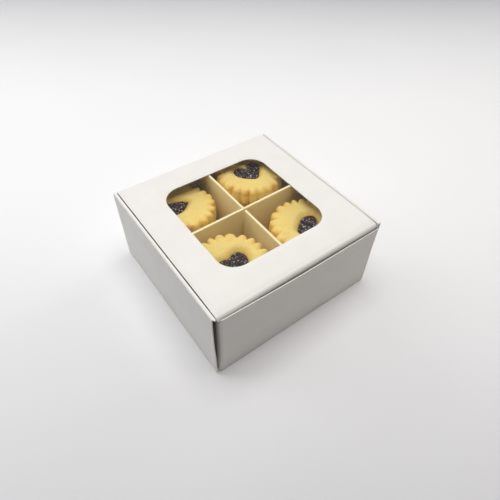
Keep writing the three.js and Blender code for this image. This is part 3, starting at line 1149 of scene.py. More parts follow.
@dataclass
class SideWall:
    """A side wall of one strip of board: up outside, over a rolled top, down inside to two tabs."""

    side: str
    turn: Turn
    board: Board
    tab_length: float = 14.0 * MM
    tab_spacing: float = 62.0 * MM
    tab_gap: float = 0.1 * MM
    hollow: float = 0.4 * MM
    hollow_skew: float = 0.8
    flare: float = 9.0 * MM
    flare_cuts: int = 5
    roll_folds: float = 3.0
    front_setback: float = 0.0
    setback_rise: Span = (0.1, 0.7)
    inner_setback: float = 0.0

    def __post_init__(self) -> None:
        """Reads the wall's plies and lengths from the frame."""
        self.front = 1 if self.turn is Turn.LEFT else -1
        low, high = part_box(f"{self.side}_outer_panel")
        self.reach = max(-low.x, high.x)
        self.half = high.y
        inner_low, inner_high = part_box(f"{self.side}_inner_panel")
        self.inner = min(abs(inner_low.x), abs(inner_high.x))
        self.inner_half = inner_high.y

    def build(self) -> bpy.types.Object:
        """Models the wall facing the front and turns it to its side.

        Returns:
            The finished wall.
        """
        top, floor = self.board.height, self.board.thickness
        fold, steps = self.board.fold, self.board.fold_steps
        middle, size = Vector((0, -self.reach, top / 2)), (2 * self.half, top)
        work = Workpiece.panel(f"{self.side}_wall_board", middle, size, Facing.FRONT)
        with work.edit():
            work.pick(Pick.EDGES, lies_on(z=top))
            work.extrude(0, self.reach - self.inner, 0)
            work.extrude(0, 0, floor - top)
            work.pick(Pick.EDGES, lies_on(z=0))
            work.extrude(0, fold, 0)
            for depth in (self.reach, self.inner):
                work.pick(Pick.EDGES, lies_on(z=top, y=-depth))
                work.round_off(fold, steps)
            work.pick(Pick.EDGES, lies_on(z=0, y=-self.reach))
            work.round_off(fold * SHY, steps)
            for end in ENDS:
                middle_x, half = end * self.tab_spacing / 2, self.tab_length / 2
                work.cut_across(middle_x + edge * half for edge in ENDS)
            work.pick(Pick.EDGES, self.on_tab)
            work.extrude(0, 0, self.tab_gap - floor)
        work.reshape(self.trim_inner)
        with work.edit():
            flare, cuts = self.flare, self.flare_cuts
            for end in ENDS:
                places = (self.half - cut * flare / cuts for cut in range(1, cuts + 1))
                work.cut_across(end * place for place in places)
            self.board.refine(work)
        work.reshape(self.settle)
        self.board.thicken(work)
        plies = ("outer_panel", "top_fold", "inner_panel")
        return self.board.stand(work, self.turn, [f"{self.side}_{ply}" for ply in plies])

    def on_tab(self, ends: list[Vector]) -> bool:
        """Finds the lower edges of the inner ply that the locking tabs grow from.

        Args:
            ends: The places of an edge's ends.

        Returns:
            Whether the edge is one of them.
        """
        on_edge = lies_on(z=self.board.thickness, y=-self.inner)(ends)
        middle = abs(sum(end.x for end in ends) / len(ends))
        return on_edge and abs(middle - self.tab_spacing / 2) < self.tab_length / 2

    def trim_inner(self, places: np.ndarray) -> np.ndarray:
        """Shortens the inner ply to end behind the front and rear walls.

        Args:
            places: The sheet's points.

        Returns:
            Their new places.
        """
        x, y, z = places.T
        fold, top = self.board.fold, self.board.height
        inside = ease(-self.reach + fold, -self.inner - fold / 2, y)
        share = np.where((z > fold * PAST) | (y > -self.inner - SNAP), inside, 0.0)
        low = ease(top, top - self.roll_folds * fold, z)
        setback = np.where(np.sign(x) == self.front, self.inner_setback * low, 0.0)
        trim = np.sign(x) * (self.half - self.inner_half + setback) * share
        places[:, 0] -= np.where(np.abs(x) > self.inner_half, trim, 0.0)
        return places

    def settle(self, places: np.ndarray) -> np.ndarray:
        """Lets the outer ply lie a little hollow, its ends straight and its front end set back.

        Args:
            places: The sheet's points.

        Returns:
            Their new places.
        """
        depth, rise = places[:, 1], np.clip(places[:, 2] / self.board.height, 0, 1)
        outer = 1 - ease(-self.reach + self.board.thickness, -self.inner - self.board.fold, depth)
        held = 1 - ease(self.half - self.flare, self.half, np.abs(places[:, 0]))
        places[:, 1] += self.hollow * outer * held * np.sin(rise**self.hollow_skew * math.pi)
        at_front = ease(self.half - self.flare, self.half, self.front * places[:, 0])
        setback = self.front_setback * outer * at_front * ease(*self.setback_rise, rise)
        places[:, 0] -= self.front * setback
        return places


@dataclass
class Lid:
    """The lid: a panel with a round-cornered window, its film and its tuck flap."""

    board: Board
    film: bpy.types.Material
    window_radius: float = 11.5 * MM
    window_steps: int = 12
    window_cuts: int = 9
    margin_cuts: int = 4
    rear_steps: int = 7
    corner_from: float = 0.8
    corner_play: float = 0.02
    film_overlap: float = 7.0 * MM
    film_cuts: int = 24
    film_radius: float = 3.0 * MM
    film_steps: int = 5
    film_share: float = 0.4
    film_sag: float = 0.12 * MM
    film_margin: float = 12.0 * MM
    film_waves: float = 35.0
    tuck_radius: float = 8.0 * MM
    tuck_steps: int = 8
    tuck_shoulder: float = 2.0 * MM
    tuck_bays: int = 5
    crease: float = 2.1 * MM
    crease_steps: int = 8
    draw_back: float = 0.2 * MM
    draw_middle: float = 0.25
    draw_width: float = 1.2
    draw_down: float = 0.5 * MM
    draw_reach: float = 12.0 * MM
    right_play: float = 0.35 * MM

    def __post_init__(self) -> None:
        """Reads the lid, film and flap sizes from the frame."""
        self.low, self.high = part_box("lid_panel")
        self.film_low, self.film_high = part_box("window_film")
        self.tuck_low, self.tuck_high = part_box("tuck_flap")
        inset = Vector((self.film_overlap, self.film_overlap, 0))
        self.window_low = self.film_low + inset
        self.window_high = self.film_high - inset
        self.window_middle = (self.window_low + self.window_high) / 2
        self.front = self.low.y + self.crease
        self.rear = self.high.y - self.board.fold
        self.top = self.board.height
        self.drop = self.top - self.crease

    def build(self) -> list[bpy.types.Object]:
        """Models the panel, its film and its tuck flap."""
        return [self.build_panel(), self.build_film(), self.build_tuck()]

    def build_panel(self) -> bpy.types.Object:
        """Models the panel round its window, with the crease that joins it to the rear wall.

        Returns:
            The finished panel.
        """
        fold = self.board.fold
        window = self.window_high - self.window_low
        middle = Vector((self.window_middle.x, self.window_middle.y, self.top))
        work = Workpiece.panel("lid_board", middle, (window.x, window.y), Facing.UP)
        with work.edit():
            work.pick_all()
            work.round_off(self.window_radius, self.window_steps, Pick.VERTS)
            work.pick_all()
            bpy.ops.mesh.delete(type="ONLY_FACE")
            work.pick(Pick.EDGES, lambda ends: (ends[0] - ends[1]).length > self.window_radius)
            work.split(self.window_cuts)
            work.pick_all()
            work.extrude(0, 0, 0)
            self.spread_to_border(work)
            work.pick(Pick.EDGES, self.crosses_margin)
            work.split(self.margin_cuts)
            work.pick(Pick.EDGES, lies_on(y=self.rear, z=self.top))
            work.extrude(0, fold, 0)
            work.extrude(0, 0, -fold)
            work.pick(Pick.EDGES, lies_on(y=self.high.y, z=self.top))
            work.round_off(fold * SHY, self.rear_steps)
            work.face_out(Facing.UP)
        work.reshape(self.settle)
        self.board.thicken(work)
        work.dress(self.board.slot, "lid_panel")
        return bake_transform(work.obj)

    def spread_to_border(self, work: Workpiece) -> None:
        """Moves the extruded window outline out to the panel's border, corner to corner.

        Args:
            work: The panel, in edit mode, with that outline picked.
        """
        half = (self.window_high - self.window_low) / 2
        border = Vector(((self.high.x - self.low.x) / 2, (self.rear - self.front) / 2))
        centre = Vector((0, (self.rear + self.front) / 2))
        shape = bmesh.from_edit_mesh(work.obj.data)
        for corner in [vertex for vertex in shape.verts if vertex.select]:
            u = (corner.co.x - self.window_middle.x) / half.x
            v = (corner.co.y - self.window_middle.y) / half.y
            on_diagonal = abs(abs(u) - abs(v)) < self.corner_play
            if on_diagonal and min(abs(u), abs(v)) > self.corner_from:
                u, v = math.copysign(1, u), math.copysign(1, v)
            reach = max(abs(u), abs(v))
            corner.co.x = centre.x + border.x * u / reach
            corner.co.y = centre.y + border.y * v / reach
        bmesh.update_edit_mesh(work.obj.data)

    def crosses_margin(self, ends: list[Vector]) -> bool:
        """Finds the edges from the window's outline to the panel's border.

        Args:
            ends: The places of an edge's ends.

        Returns:
            Whether just one of them is on the border.
        """
        on_border = [
            abs(abs(end.x) - self.high.x) < SNAP
            or min(abs(end.y - self.rear), abs(end.y - self.front)) < SNAP
            for end in ends
        ]
        return on_border[0] != on_border[1]

    def front_line(self, x: np.ndarray) -> np.ndarray:
        """How far the lid's front crease draws back from the front wall along its length."""
        along = (x / self.high.x - self.draw_middle) / self.draw_width
        return self.draw_back * np.clip(1 - along**2, 0, 1)

    def right_line(self, x: np.ndarray) -> np.ndarray:
        """How far the lid's right edge is drawn in."""
        return self.right_play * ease(self.high.x - self.draw_reach, self.high.x, x)

    def settle(self, places: np.ndarray) -> np.ndarray:
        """Draws the panel's front edge back and down to the tuck's crease, its right edge in.

        Args:
            places: The panel's points.

        Returns:
            Their new places.
        """
        near = ease(self.front + self.draw_reach, self.front, places[:, 1])
        places[:, 0] -= self.right_line(places[:, 0])
        places[:, 1] += self.front_line(places[:, 0]) * near
        places[:, 2] -= self.draw_down * near
        return places

    def build_film(self) -> bpy.types.Object:
        """Models the film glued under the panel, slack over the window.

        Returns:
            The finished film.
        """
        size = self.film_high - self.film_low
        middle = (self.film_low + self.film_high) / 2
        work = Workpiece.panel("window_film_sheet", middle, (size.x, size.y), Facing.UP)
        with work.edit():
            work.pick_all()
            work.split(self.film_cuts)
            work.pick(Pick.VERTS, self.at_film_corner)
            work.round_off(self.film_radius, self.film_steps, Pick.VERTS)
            work.face_out(Facing.UP)
        work.reshape(self.slacken)
        work.apply("SOLIDIFY", thickness=self.film_share * size.z, offset=0.0)
        work.smooth(SHEET_SMOOTH)
        work.paint(self.film)
        work.dress("clear_film", "window_film")
        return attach(work.obj, "lid")

    def at_film_corner(self, at: list[Vector]) -> bool:
        """True for a corner of the film's outline."""
        ends = min(abs(at[0].y - self.film_low.y), abs(at[0].y - self.film_high.y))
        return abs(at[0].x) > self.film_high.x - SNAP and ends < SNAP

    def slacken(self, places: np.ndarray) -> np.ndarray:
        """Gives the film over the window a few shallow waves.

        Args:
            places: The film's points.

        Returns:
            Their new places.
        """
        inside = 1.0
        for axis in (0, 1):
            edge = self.window_high[axis]
            inside = inside * ease(edge, edge - self.film_margin, np.abs(places[:, axis]))
        wave = 0.5 + 0.5 * grain(places, self.film_waves)
        places[:, 2] -= self.film_sag * inside * wave
        return places

    def build_tuck(self) -> bpy.types.Object:
        """Models the tuck flap with the crease that joins it to the panel.

        Returns:
            The finished flap.
        """
        top, front, drop = self.top, self.low.y, self.drop
        foot = self.tuck_low.z
        size = (self.tuck_high.x - self.tuck_low.x, drop - foot)
        middle = Vector((0, front, (drop + foot) / 2))
        work = Workpiece.panel("tuck_flap_board", middle, size, Facing.FRONT)
        with work.edit():
            work.pick(Pick.VERTS, lies_on(z=foot))
            work.round_off(self.tuck_radius, self.tuck_steps, Pick.VERTS)
            for level in (drop - self.tuck_shoulder, foot + self.tuck_radius):
                work.cut(Z_AXIS * level, Z_AXIS)
            work.pick(Pick.EDGES, lies_on(z=drop))
            work.extrude(0, 0, self.crease)
            work.extrude(0, self.crease, 0)
            work.pick(Pick.EDGES, lies_on(y=front, z=top))
            work.round_off(self.crease * SHY, self.crease_steps)
            shares = range(1 - self.tuck_bays, self.tuck_bays)
            work.cut_across(share * size[0] / (2 * self.tuck_bays) for share in shares)
            work.face_out(Facing.FRONT)
        work.reshape(self.lean)
        self.board.thicken(work)
        work.dress(self.board.slot, "tuck_flap")
        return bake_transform(work.obj)

    def lean(self, places: np.ndarray) -> np.ndarray:
        """Widens the flap's crease to the panel and leans the flap in towards its free edge.

        Args:
            places: The flap's points.

        Returns:
            Their new places.
        """
        wide = self.high.x / self.tuck_high.x
        places[:, 0] *= np.where(places[:, 2] > self.drop - SNAP, wide, 1.0)
        reach = self.tuck_high.y - self.board.thickness - self.low.y
        down = np.clip((self.drop - places[:, 2]) / (self.drop - self.tuck_low.z), 0, 1)
        places[:, 0] -= self.right_line(places[:, 0])
        places[:, 1] += reach * down + self.front_line(places[:, 0]) * (1 - down)
        places[:, 2] -= self.draw_down * (1 - down)
        return places


@dataclass
class DividerStrip:
    """A strip of cream board, slotted to half its height where it crosses the other strip."""

    node: str
    facing: Facing
    along: int
    opening: Opening
    crossing: Vector
    face: bpy.types.Material
    edge: bpy.types.Material
    slot_play: float = 1.4 * MM
    slot_extra: float = 0.4 * MM
    worn: float = 0.12 * MM
    warp: float = 0.625 * MM
    warp_cuts: int = 10
    long_share: float = 1 / 3
    skew: float = math.radians(0.4)

    def __post_init__(self) -> None:
        """Reads the strip's size from the frame."""
        low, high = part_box(self.node)
        self.middle, self.size = (low + high) / 2, high - low
        self.length, self.board = self.size[self.along], self.size[1 - self.along]
        self.slot = self.board + self.slot_play
        self.slot_end = self.middle.z - self.opening.value * self.slot_extra

    def build(self) -> bpy.types.Object:
        """Models the strip in its middle plane.

        Returns:
            The finished strip.
        """
        axis = (X_AXIS, Y_AXIS)[self.along]
        size = (self.length, self.size.z)
        long_edge = self.length * self.long_share
        work = Workpiece.panel(f"{self.node}_strip", self.middle, size, self.facing)
        with work.edit():
            for end in ENDS:
                work.cut(self.middle + axis * self.slot * end / 2, axis)
            work.cut(Z_AXIS * self.slot_end, Z_AXIS)
            work.pick(Pick.FACES, self.in_slot)
            bpy.ops.mesh.delete(type="FACE")
            work.pick(Pick.EDGES, lambda ends: (ends[0] - ends[1]).length > long_edge)
            work.split(self.warp_cuts)
            work.face_out(self.facing)
        work.reshape(self.settle)
        work.thicken(self.board, self.worn, self.face, self.edge, middle=True)
        work.place(self.skew, about=self.crossing)
        work.dress("insert_board", self.node)
        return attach(work.obj, "tray")

    def in_slot(self, corners: list[Vector]) -> bool:
        """Finds the face that the slot takes away.

        Args:
            corners: The places of a face's corners.

        Returns:
            Whether they all lie in the slot, on the side where it opens.
        """
        middle, side = self.middle[self.along], self.opening.value
        inside = all(abs(corner[self.along] - middle) < self.slot / 2 + SNAP for corner in corners)
        return inside and all(side * (corner.z - self.slot_end) > -SNAP for corner in corners)

    def settle(self, places: np.ndarray) -> np.ndarray:
        """Warps the strip a little to either side of the crossing.

        Args:
            places: The strip's points.

        Returns:
            Their new places.
        """
        share = (places[:, self.along] - self.middle[self.along]) / (self.length / 2)
        places[:, 1 - self.along] += self.warp * share * np.abs(share) * (1 - share**2)
        return places


@dataclass
class DividerInsert:
    """The two crossed strips that make the four compartments."""

    face: bpy.types.Material
    edge: bpy.types.Material

    def build(self) -> list[bpy.types.Object]:
        """Models the cross strip, slotted from below, and the long strip, slotted from above.

        Returns:
            Both strips.
        """
        across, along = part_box("long_divider"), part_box("cross_divider")
        x, y = (across[0].x + across[1].x) / 2, (along[0].y + along[1].y) / 2
        shared = (Vector((x, y, 0)), self.face, self.edge)
        cross = DividerStrip("cross_divider", Facing.FRONT, 0, Opening.BELOW, *shared)
        long = DividerStrip("long_divider", Facing.LEFT, 1, Opening.ABOVE, *shared)
        return [cross.build(), long.build()]


@dataclass
class HeartOutline:
    """The outline of a jam heart about its middle, its point and its notch blunted.

    It starts from a well-known curve: half is half its width, point is how far its point lies
    from its middle, and the cosines of one to four turns give its height.
    """

    half: ClassVar[int] = 16
    point: ClassVar[int] = 17
    cosines: ClassVar[tuple[int, ...]] = (13, -5, -2, -1)

    width: float
    notch: float
    slim: float
    blunt: float = math.radians(10)
    notch_width: float = math.radians(20)
    samples: int = 720

    def __post_init__(self) -> None:
        """Works out how far the outline lies from the middle in each direction."""
        angle = np.linspace(0, 2 * math.pi, 2 * self.samples + 1)
        x = self.half * np.sin(angle) * np.abs(np.sin(angle))
        y = sum(share * np.cos(turns * angle) for turns, share in enumerate(self.cosines, 1))
        self.bearings = np.linspace(0, 2 * math.pi, self.samples, endpoint=False)
        curve = np.hypot(x, y) / (2 * self.half) * self.width
        sharp = np.interp(self.bearings, np.unwrap(np.arctan2(x, y)), curve)
        away = np.minimum(self.bearings, 2 * math.pi - self.bearings)
        soft = bell(away, self.blunt)
        blunted = np.real(np.fft.ifft(np.fft.fft(sharp) * np.fft.fft(soft / soft.sum())))
        self.reaches = blunted + self.notch * self.width * bell(away, self.notch_width)

    def reach(self, x: np.ndarray, y: np.ndarray) -> np.ndarray:
        """How far the outline lies from the middle, in the direction of each point.

        Args:
            x: The points' places across the heart.
            y: Their places along it.

        Returns:
            The distances.
        """
        bearing = np.arctan2(x / self.slim, y)
        reach = np.interp(bearing, self.bearings, self.reaches, period=2 * math.pi)
        return reach * np.hypot(x, y) / np.maximum(np.hypot(x / self.slim, y), TINY)


@dataclass(frozen=True)
class Bake:
    """How browned a biscuit is in each place, from 0 to 1, with painted shade in the flutes'
    grooves and round the jam.
    """

    top: float = 0.03
    foot: float = 0.8
    side: float = 0.05
    side_low: float = 0.32
    # partly browning and partly painted shade in the grooves between flutes
    side_groove_brown_and_shade: float = 0.24
    side_toast: float = 0.2
    rim: float = 0.12
    rim_toast: float = 0.46
    rim_from: float = 0.8
    # partly browning and partly painted shade in the grooves near the rim
    rim_groove_brown_and_shade: float = 0.16
    groove_span: Span = (0.7, 0.95)
    # partly browning and partly painted shade on the dimple's slope round the jam
    jam_halo_brown_and_shade: float = 0.3
    jam_edge_brown_and_shade: float = 0.55

    def on_side(self, rise: np.ndarray, lobe: np.ndarray, toast: np.ndarray) -> np.ndarray:
        """The sides' browning, by the height, the flutes and the uneven toast, with painted shade
        in the grooves.
        """
        low, groove = self.side_low * (1 - rise) ** 2, self.side_groove_brown_and_shade * (1 - lobe)
        return self.side + low + groove + self.side_toast * toast**2

    def on_top(
        self, out: np.ndarray, lobe: np.ndarray, toast: np.ndarray, near_jam: np.ndarray
    ) -> np.ndarray:
        """The top's browning, with painted shade in the grooves and on the dimple round the jam.

        Args:
            out: How far out each point lies, from 0 to 1.
            lobe: How far it lies from a groove between flutes.
            toast: The uneven toast round the rim.
            near_jam: How near it lies to the jam.

        Returns:
            The browning.
        """
        rim = (self.rim + self.rim_toast * toast**2) * ease(self.rim_from, 1.0, out)
        rim += self.rim_groove_brown_and_shade * (1 - lobe) * ease(*self.groove_span, out)
        return self.top + rim + self.jam_halo_brown_and_shade * near_jam**2 + self.jam_edge_brown_and_shade * near_jam**5


@dataclass
class BiscuitStack:
    """A stack of fluted biscuits, each with a heart of seeded jam in a dimple."""

    cell: str
    seed: int
    finishes: Finishes
    notch: float = 0.0
    slim: float = 1.0
    shrink: float = 0.0
    drift: Vector = ORIGIN
    lift: float = 0.0
    lean: Vector = ORIGIN
    bake: Bake = Bake()
    layers: int = 4
    hub: float = 0.96
    top_rings: int = 38
    ring_crowding: float = 1.5
    side_rings: int = 11
    foot_inset: float = 0.2
    flutes: int = 21
    flute_points: int = 12
    flute_depth: float = 1.85 * MM
    flute_uneven: float = 0.3
    flute_from: float = 0.68
    flute_blunt: float = 0.7
    flute_sway: float = 0.09
    groove_dip: float = 0.75
    play: float = 0.25 * MM
    belly: float = 0.25 * MM
    spread: float = 0.3 * MM
    draft: float = 0.0
    rim_radius: float = 2.2 * MM
    foot_radius: float = 0.7 * MM
    crown: float = 0.35 * MM
    crown_span: Span = (0.3, 0.8)
    dimple: float = 2.8 * MM
    dimple_reach: float = 5.2 * MM
    well: float = 4.6 * MM
    well_slope: float = 1.6 * MM
    biscuit_smooth: float = 60.0
    wobble: float = 0.2 * MM
    wobble_in: float = 0.6
    wobble_layers: tuple[Pair, ...] = ((210.0, 0.8), (900.0, 0.35))
    jam_segments: int = 190
    jam_rings: int = 84
    jam_gather: float = 1.25
    jam_share: float = 1.08
    jam_crown: float = 2.0 * MM
    jam_blunt: float = 0.8
    jam_root: float = 1.8 * MM
    jam_smooth: float = 80.0
    lump: float = 1.7 * MM
    lump_reach: float = 0.62
    lump_height: float = 0.5 * MM
    lump_from: Span = (0.05, 0.4)

    def __post_init__(self) -> None:
        """Reads the biscuits' and hearts' sizes from the frame, and draws the heart's outline."""
        low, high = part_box(f"{self.cell}_biscuit_{self.layers}")
        self.radius = (high.x - low.x) / 2
        self.height = high.z - low.z
        middle, point = self.heart_place(self.layers)
        offset = middle + self.drift - self.centre(self.layers)
        turn_back = Matrix.Rotation(-self.turn(self.layers), 3, "Z")
        self.heart = turn_back @ Vector((offset.x, offset.y, 0))
        width = point.length * 2 * HeartOutline.half / HeartOutline.point
        self.outline = HeartOutline(width, self.notch, self.slim)

    def heart_place(self, layer: int) -> tuple[Vector, Vector]:
        """Finds a jam heart in plan from its solid.

        Args:
            layer: The biscuit's place in the stack, from 1.

        Returns:
            The heart's middle, and where its point, its farthest corner, lies from there.
        """
        vertices = bpy.data.objects[f"{self.cell}_jam_{layer}"].data.vertices
        places = np.array([vertex.co for vertex in vertices])
        corners = np.unique(places.round(DECIMALS), axis=0)[:, :2]
        middle = corners.mean(axis=0)
        away = corners - middle
        point = away[np.argmax(np.linalg.norm(away, axis=1))]
        return Vector((*middle, 0)), Vector((*point, 0))

    def turn(self, layer: int) -> float:
        """The turn of a jam heart about a vertical line."""
        point = self.heart_place(layer)[1]
        return math.atan2(point.y, point.x) + math.pi / 2

    def centre(self, layer: int) -> Vector:
        """The middle of a biscuit's underside."""
        low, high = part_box(f"{self.cell}_biscuit_{layer}")
        return Vector(((low.x + high.x) / 2, (low.y + high.y) / 2, low.z))

    def sway(self, bearing: np.ndarray, wave: Wave) -> np.ndarray:
        """A gentle wave round the biscuit, of the stack's own.

        Args:
            bearing: The directions from the biscuit's middle.
            wave: Which of the waves.

        Returns:
            The wave, between -1 and 1.
        """
        counts = wave.value
        chance = np.random.default_rng(self.seed + sum(counts))
        phases = chance.uniform(0, 2 * math.pi, len(counts))
        waves = (np.sin(count * bearing + phase) for count, phase in zip(counts, phases))
        return sum(waves) / len(counts)

    def sway_share(self, bearing: np.ndarray, wave: Wave) -> np.ndarray:
        """The same wave, between 0 and 1."""
        return 0.5 + 0.5 * self.sway(bearing, wave)

    def build(self) -> list[bpy.types.Object]:
        """Models one biscuit and one jam heart, and copies them up the stack.

        Returns:
            Every biscuit and jam heart.
        """
        dough, jam = self.model_biscuit(), self.model_jam()
        dough.paint(self.finishes.dough)
        jam.paint(self.finishes.jam)
        made = []
        for layer in range(1, self.layers + 1):
            centre, turn = self.centre(layer), self.turn(layer)
            biscuit = dough.copy(f"{self.cell}_biscuit_{layer}_baked")
            biscuit.place(turn, centre)
            self.roughen(biscuit)
            heart = jam.copy(f"{self.cell}_jam_{layer}_filling")
            offset = Matrix.Rotation(turn, 3, "Z") @ self.heart + Z_AXIS * self.height
            heart.place(turn, centre + offset)
            if layer == self.layers:
                biscuit.reshape(self.settle_top)
                heart.reshape(self.settle_top)
            biscuit.dress("baked_dough", f"{self.cell}_biscuit_{layer}")
            heart.dress("berry_jam", f"{self.cell}_jam_{layer}")
            made += [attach(biscuit.obj, "tray"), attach(heart.obj, "tray")]
        dough.scrap()
        jam.scrap()
        return made

    def settle_top(self, places: np.ndarray) -> np.ndarray:
        """Makes the top biscuit thicker or leaning, with its jam, the underside still flat.

        Args:
            places: The points of the biscuit or its jam.

        Returns:
            Their new places.
        """
        from_centre = places - np.array(self.centre(self.layers))
        raised = self.lift + from_centre @ np.array(self.lean)
        places[:, 2] += from_centre[:, 2] / self.height * raised
        return places

    def model_biscuit(self) -> Workpiece:
        """Models a biscuit from a cylinder: rings on its top and sides, then flutes and dimple.

        Returns:
            The biscuit about the origin, with its browning and painted shade noted on its points.
        """
        clear_selection()
        bpy.ops.mesh.primitive_cylinder_add(
            vertices=self.flutes * self.flute_points,
            radius=self.radius,
            depth=self.height,
            end_fill_type="NGON",
            location=(0, 0, self.height / 2),
        )
        work = Workpiece("biscuit_pattern")
        with work.edit():
            work.pick(Pick.FACES, lies_on(z=self.height))
            bpy.ops.mesh.inset(thickness=self.radius * self.hub)
            work.pick(Pick.EDGES, self.is_spoke)
            work.split(self.top_rings)
            work.pick(Pick.FACES, lies_on(z=0))
            bpy.ops.mesh.inset(thickness=self.radius * self.foot_inset)
            work.pick(Pick.EDGES, lambda ends: abs(ends[0].z - ends[1].z) > self.height / 2)
            work.split(self.side_rings)
        self.brown_and_shade = np.zeros(len(work.obj.data.vertices))
        work.reshape(self.flute)
        work.note(BROWNING_AND_SHADE, self.brown_and_shade)
        work.smooth(self.biscuit_smooth)
        return work

    def is_spoke(self, ends: list[Vector]) -> bool:
        """Finds the edges of the top that run from its rim towards its middle.

        Args:
            ends: The places of an edge's ends.

        Returns:
            Whether the edge is one of them.
        """
        on_top = min(end.z for end in ends) > self.height - SNAP
        first, last = (end.to_2d().length for end in ends)
        return on_top and abs(first - last) > self.radius / 2

    def flute(self, places: np.ndarray) -> np.ndarray:
        """Shapes the plain disc into the biscuit, and notes how browned each point is, with painted
        shade in the grooves and round the jam.

        Args:
            places: The disc's points.

        Returns:
            Their new places.
        """
        x, y, z = places.T
        top, foot = z > self.height - SNAP, z < SNAP
        rise, bearing = z / self.height, np.arctan2(y, x)
        share = np.hypot(x, y) / self.radius
        out = np.where(top, 1 - (1 - np.clip(share, 0, 1)) ** self.ring_crowding, share)

        pitch = bearing + self.flute_sway * self.sway(bearing, Wave.FLUTE_PITCH)
        lobe = np.abs(np.cos(self.flutes * pitch / 2)) ** self.flute_blunt
        depth = self.flute_depth * (1 + self.flute_uneven * self.sway(bearing, Wave.FLUTE_DEPTH))
        groove = depth * (1 - lobe) * ease(self.flute_from, 1.0, out)
        side_z = rise * (self.height - self.rim_radius)
        foot_in = np.where(foot, self.foot_radius, rounding(self.foot_radius, side_z) * ~top)
        belly = self.belly * np.sin(rise * math.pi) * ~top
        spread = (self.shrink + self.spread * self.sway_share(bearing, Wave.SPREAD)) * out
        radius = self.radius * out - groove - foot_in - self.play + belly
        radius -= self.draft * np.where(top, out, rise)
        scale = (radius - spread) / np.maximum(np.hypot(x, y), SNAP)
        x, y = x * scale, y * scale

        from_x, from_y = x - self.heart.x, y - self.heart.y
        beyond = np.hypot(from_x, from_y) - self.outline.reach(from_x, from_y)
        near_jam = 1 - np.clip(beyond / self.dimple_reach, 0, 1)
        dip = self.dimple * near_jam**2
        dip += (self.well - self.dimple) * ease(0, self.well_slope, -beyond)
        rim_drop = rounding(self.rim_radius, self.radius * (1 - out))
        top_z = self.height - self.crown + self.crown * ease(*self.crown_span, out)
        top_z = top_z - rim_drop - self.groove_dip * groove - dip

        toast = self.sway_share(bearing, Wave.TOAST)
        on_side = np.where(foot, self.bake.foot, self.bake.on_side(rise, lobe, toast))
        # browning, with painted shade in the grooves and on the dimple round the jam
        self.brown_and_shade = np.where(top, self.bake.on_top(out, lobe, toast, near_jam), on_side)
        return np.stack([x, y, np.where(top, top_z, np.where(foot, 0.0, side_z))], axis=1)

    def roughen(self, biscuit: Workpiece) -> None:
        """Gives one biscuit's surface its own uneven bake."""
        normals = biscuit.points(Reading.NORMALS)
        biscuit.reshape(lambda places: places - normals * self.wobbles(places)[:, None])

    def wobbles(self, places: np.ndarray) -> np.ndarray:
        """How far slow and fine noise moves each point in."""
        uneven = sum(share * grain(places, scale) for scale, share in self.wobble_layers)
        return self.wobble * (self.wobble_in - uneven)

    def model_jam(self) -> Workpiece:
        """Models the jam from a ball drawn out to a heart, its surface lumpy with seeds.

        Returns:
            The jam about the heart's middle, below a biscuit's top.
        """
        clear_selection()
        bpy.ops.mesh.primitive_uv_sphere_add(
            segments=self.jam_segments, ring_count=self.jam_rings, radius=1.0
        )
        work = Workpiece("jam_pattern")
        work.reshape(self.draw_heart)
        work.smooth(self.jam_smooth)
        return work

    def draw_heart(self, places: np.ndarray) -> np.ndarray:
        """Draws the ball's rings out to hearts and raises the lumps.

        Args:
            places: The ball's points.

        Returns:
            Their new places.
        """
        x, y, z = places.T
        across = np.clip(np.hypot(x, y), SNAP, 1)
        out = across**self.jam_gather * self.jam_share * self.outline.reach(x, y)
        x, y, up = x / across * out, y / across * out, np.clip(z, 0, 1)
        z = np.where(z > 0, self.jam_crown * up**self.jam_blunt, self.jam_root * z) - self.dimple
        spots = np.stack([x, y, np.full_like(x, self.lump * self.seed)], axis=1) / self.lump
        near = np.array([noise.voronoi(Vector(spot))[0][0] for spot in spots])
        bead = np.clip(1 - (near / self.lump_reach) ** 2, 0, 1)
        z += self.lump_height * bead * ease(*self.lump_from, up)
        return np.stack([x, y, z], axis=1)


@dataclass(frozen=True)
class SoftLight:
    """One large soft lamp: its place and size in metres, its power in watts and its colour."""

    name: str
    place: Triple
    size: float
    power: float
    colour: Colour
    in_mirrors: bool = True

    def hang(self, aim: Vector) -> None:
        """Adds the lamp to the scene.

        Args:
            aim: What the lamp looks at.
        """
        lamp = bpy.data.lights.new(self.name, "AREA")
        lamp.shape = "SQUARE"
        lamp.size = self.size
        lamp.energy = self.power
        lamp.color = self.colour
        holder = bpy.data.objects.new(self.name, lamp)
        holder.visible_glossy = self.in_mirrors
        holder.location = self.place
        holder.rotation_euler = (aim - Vector(self.place)).to_track_quat("-Z", "Y").to_euler()
        bpy.context.scene.collection.objects.link(holder)


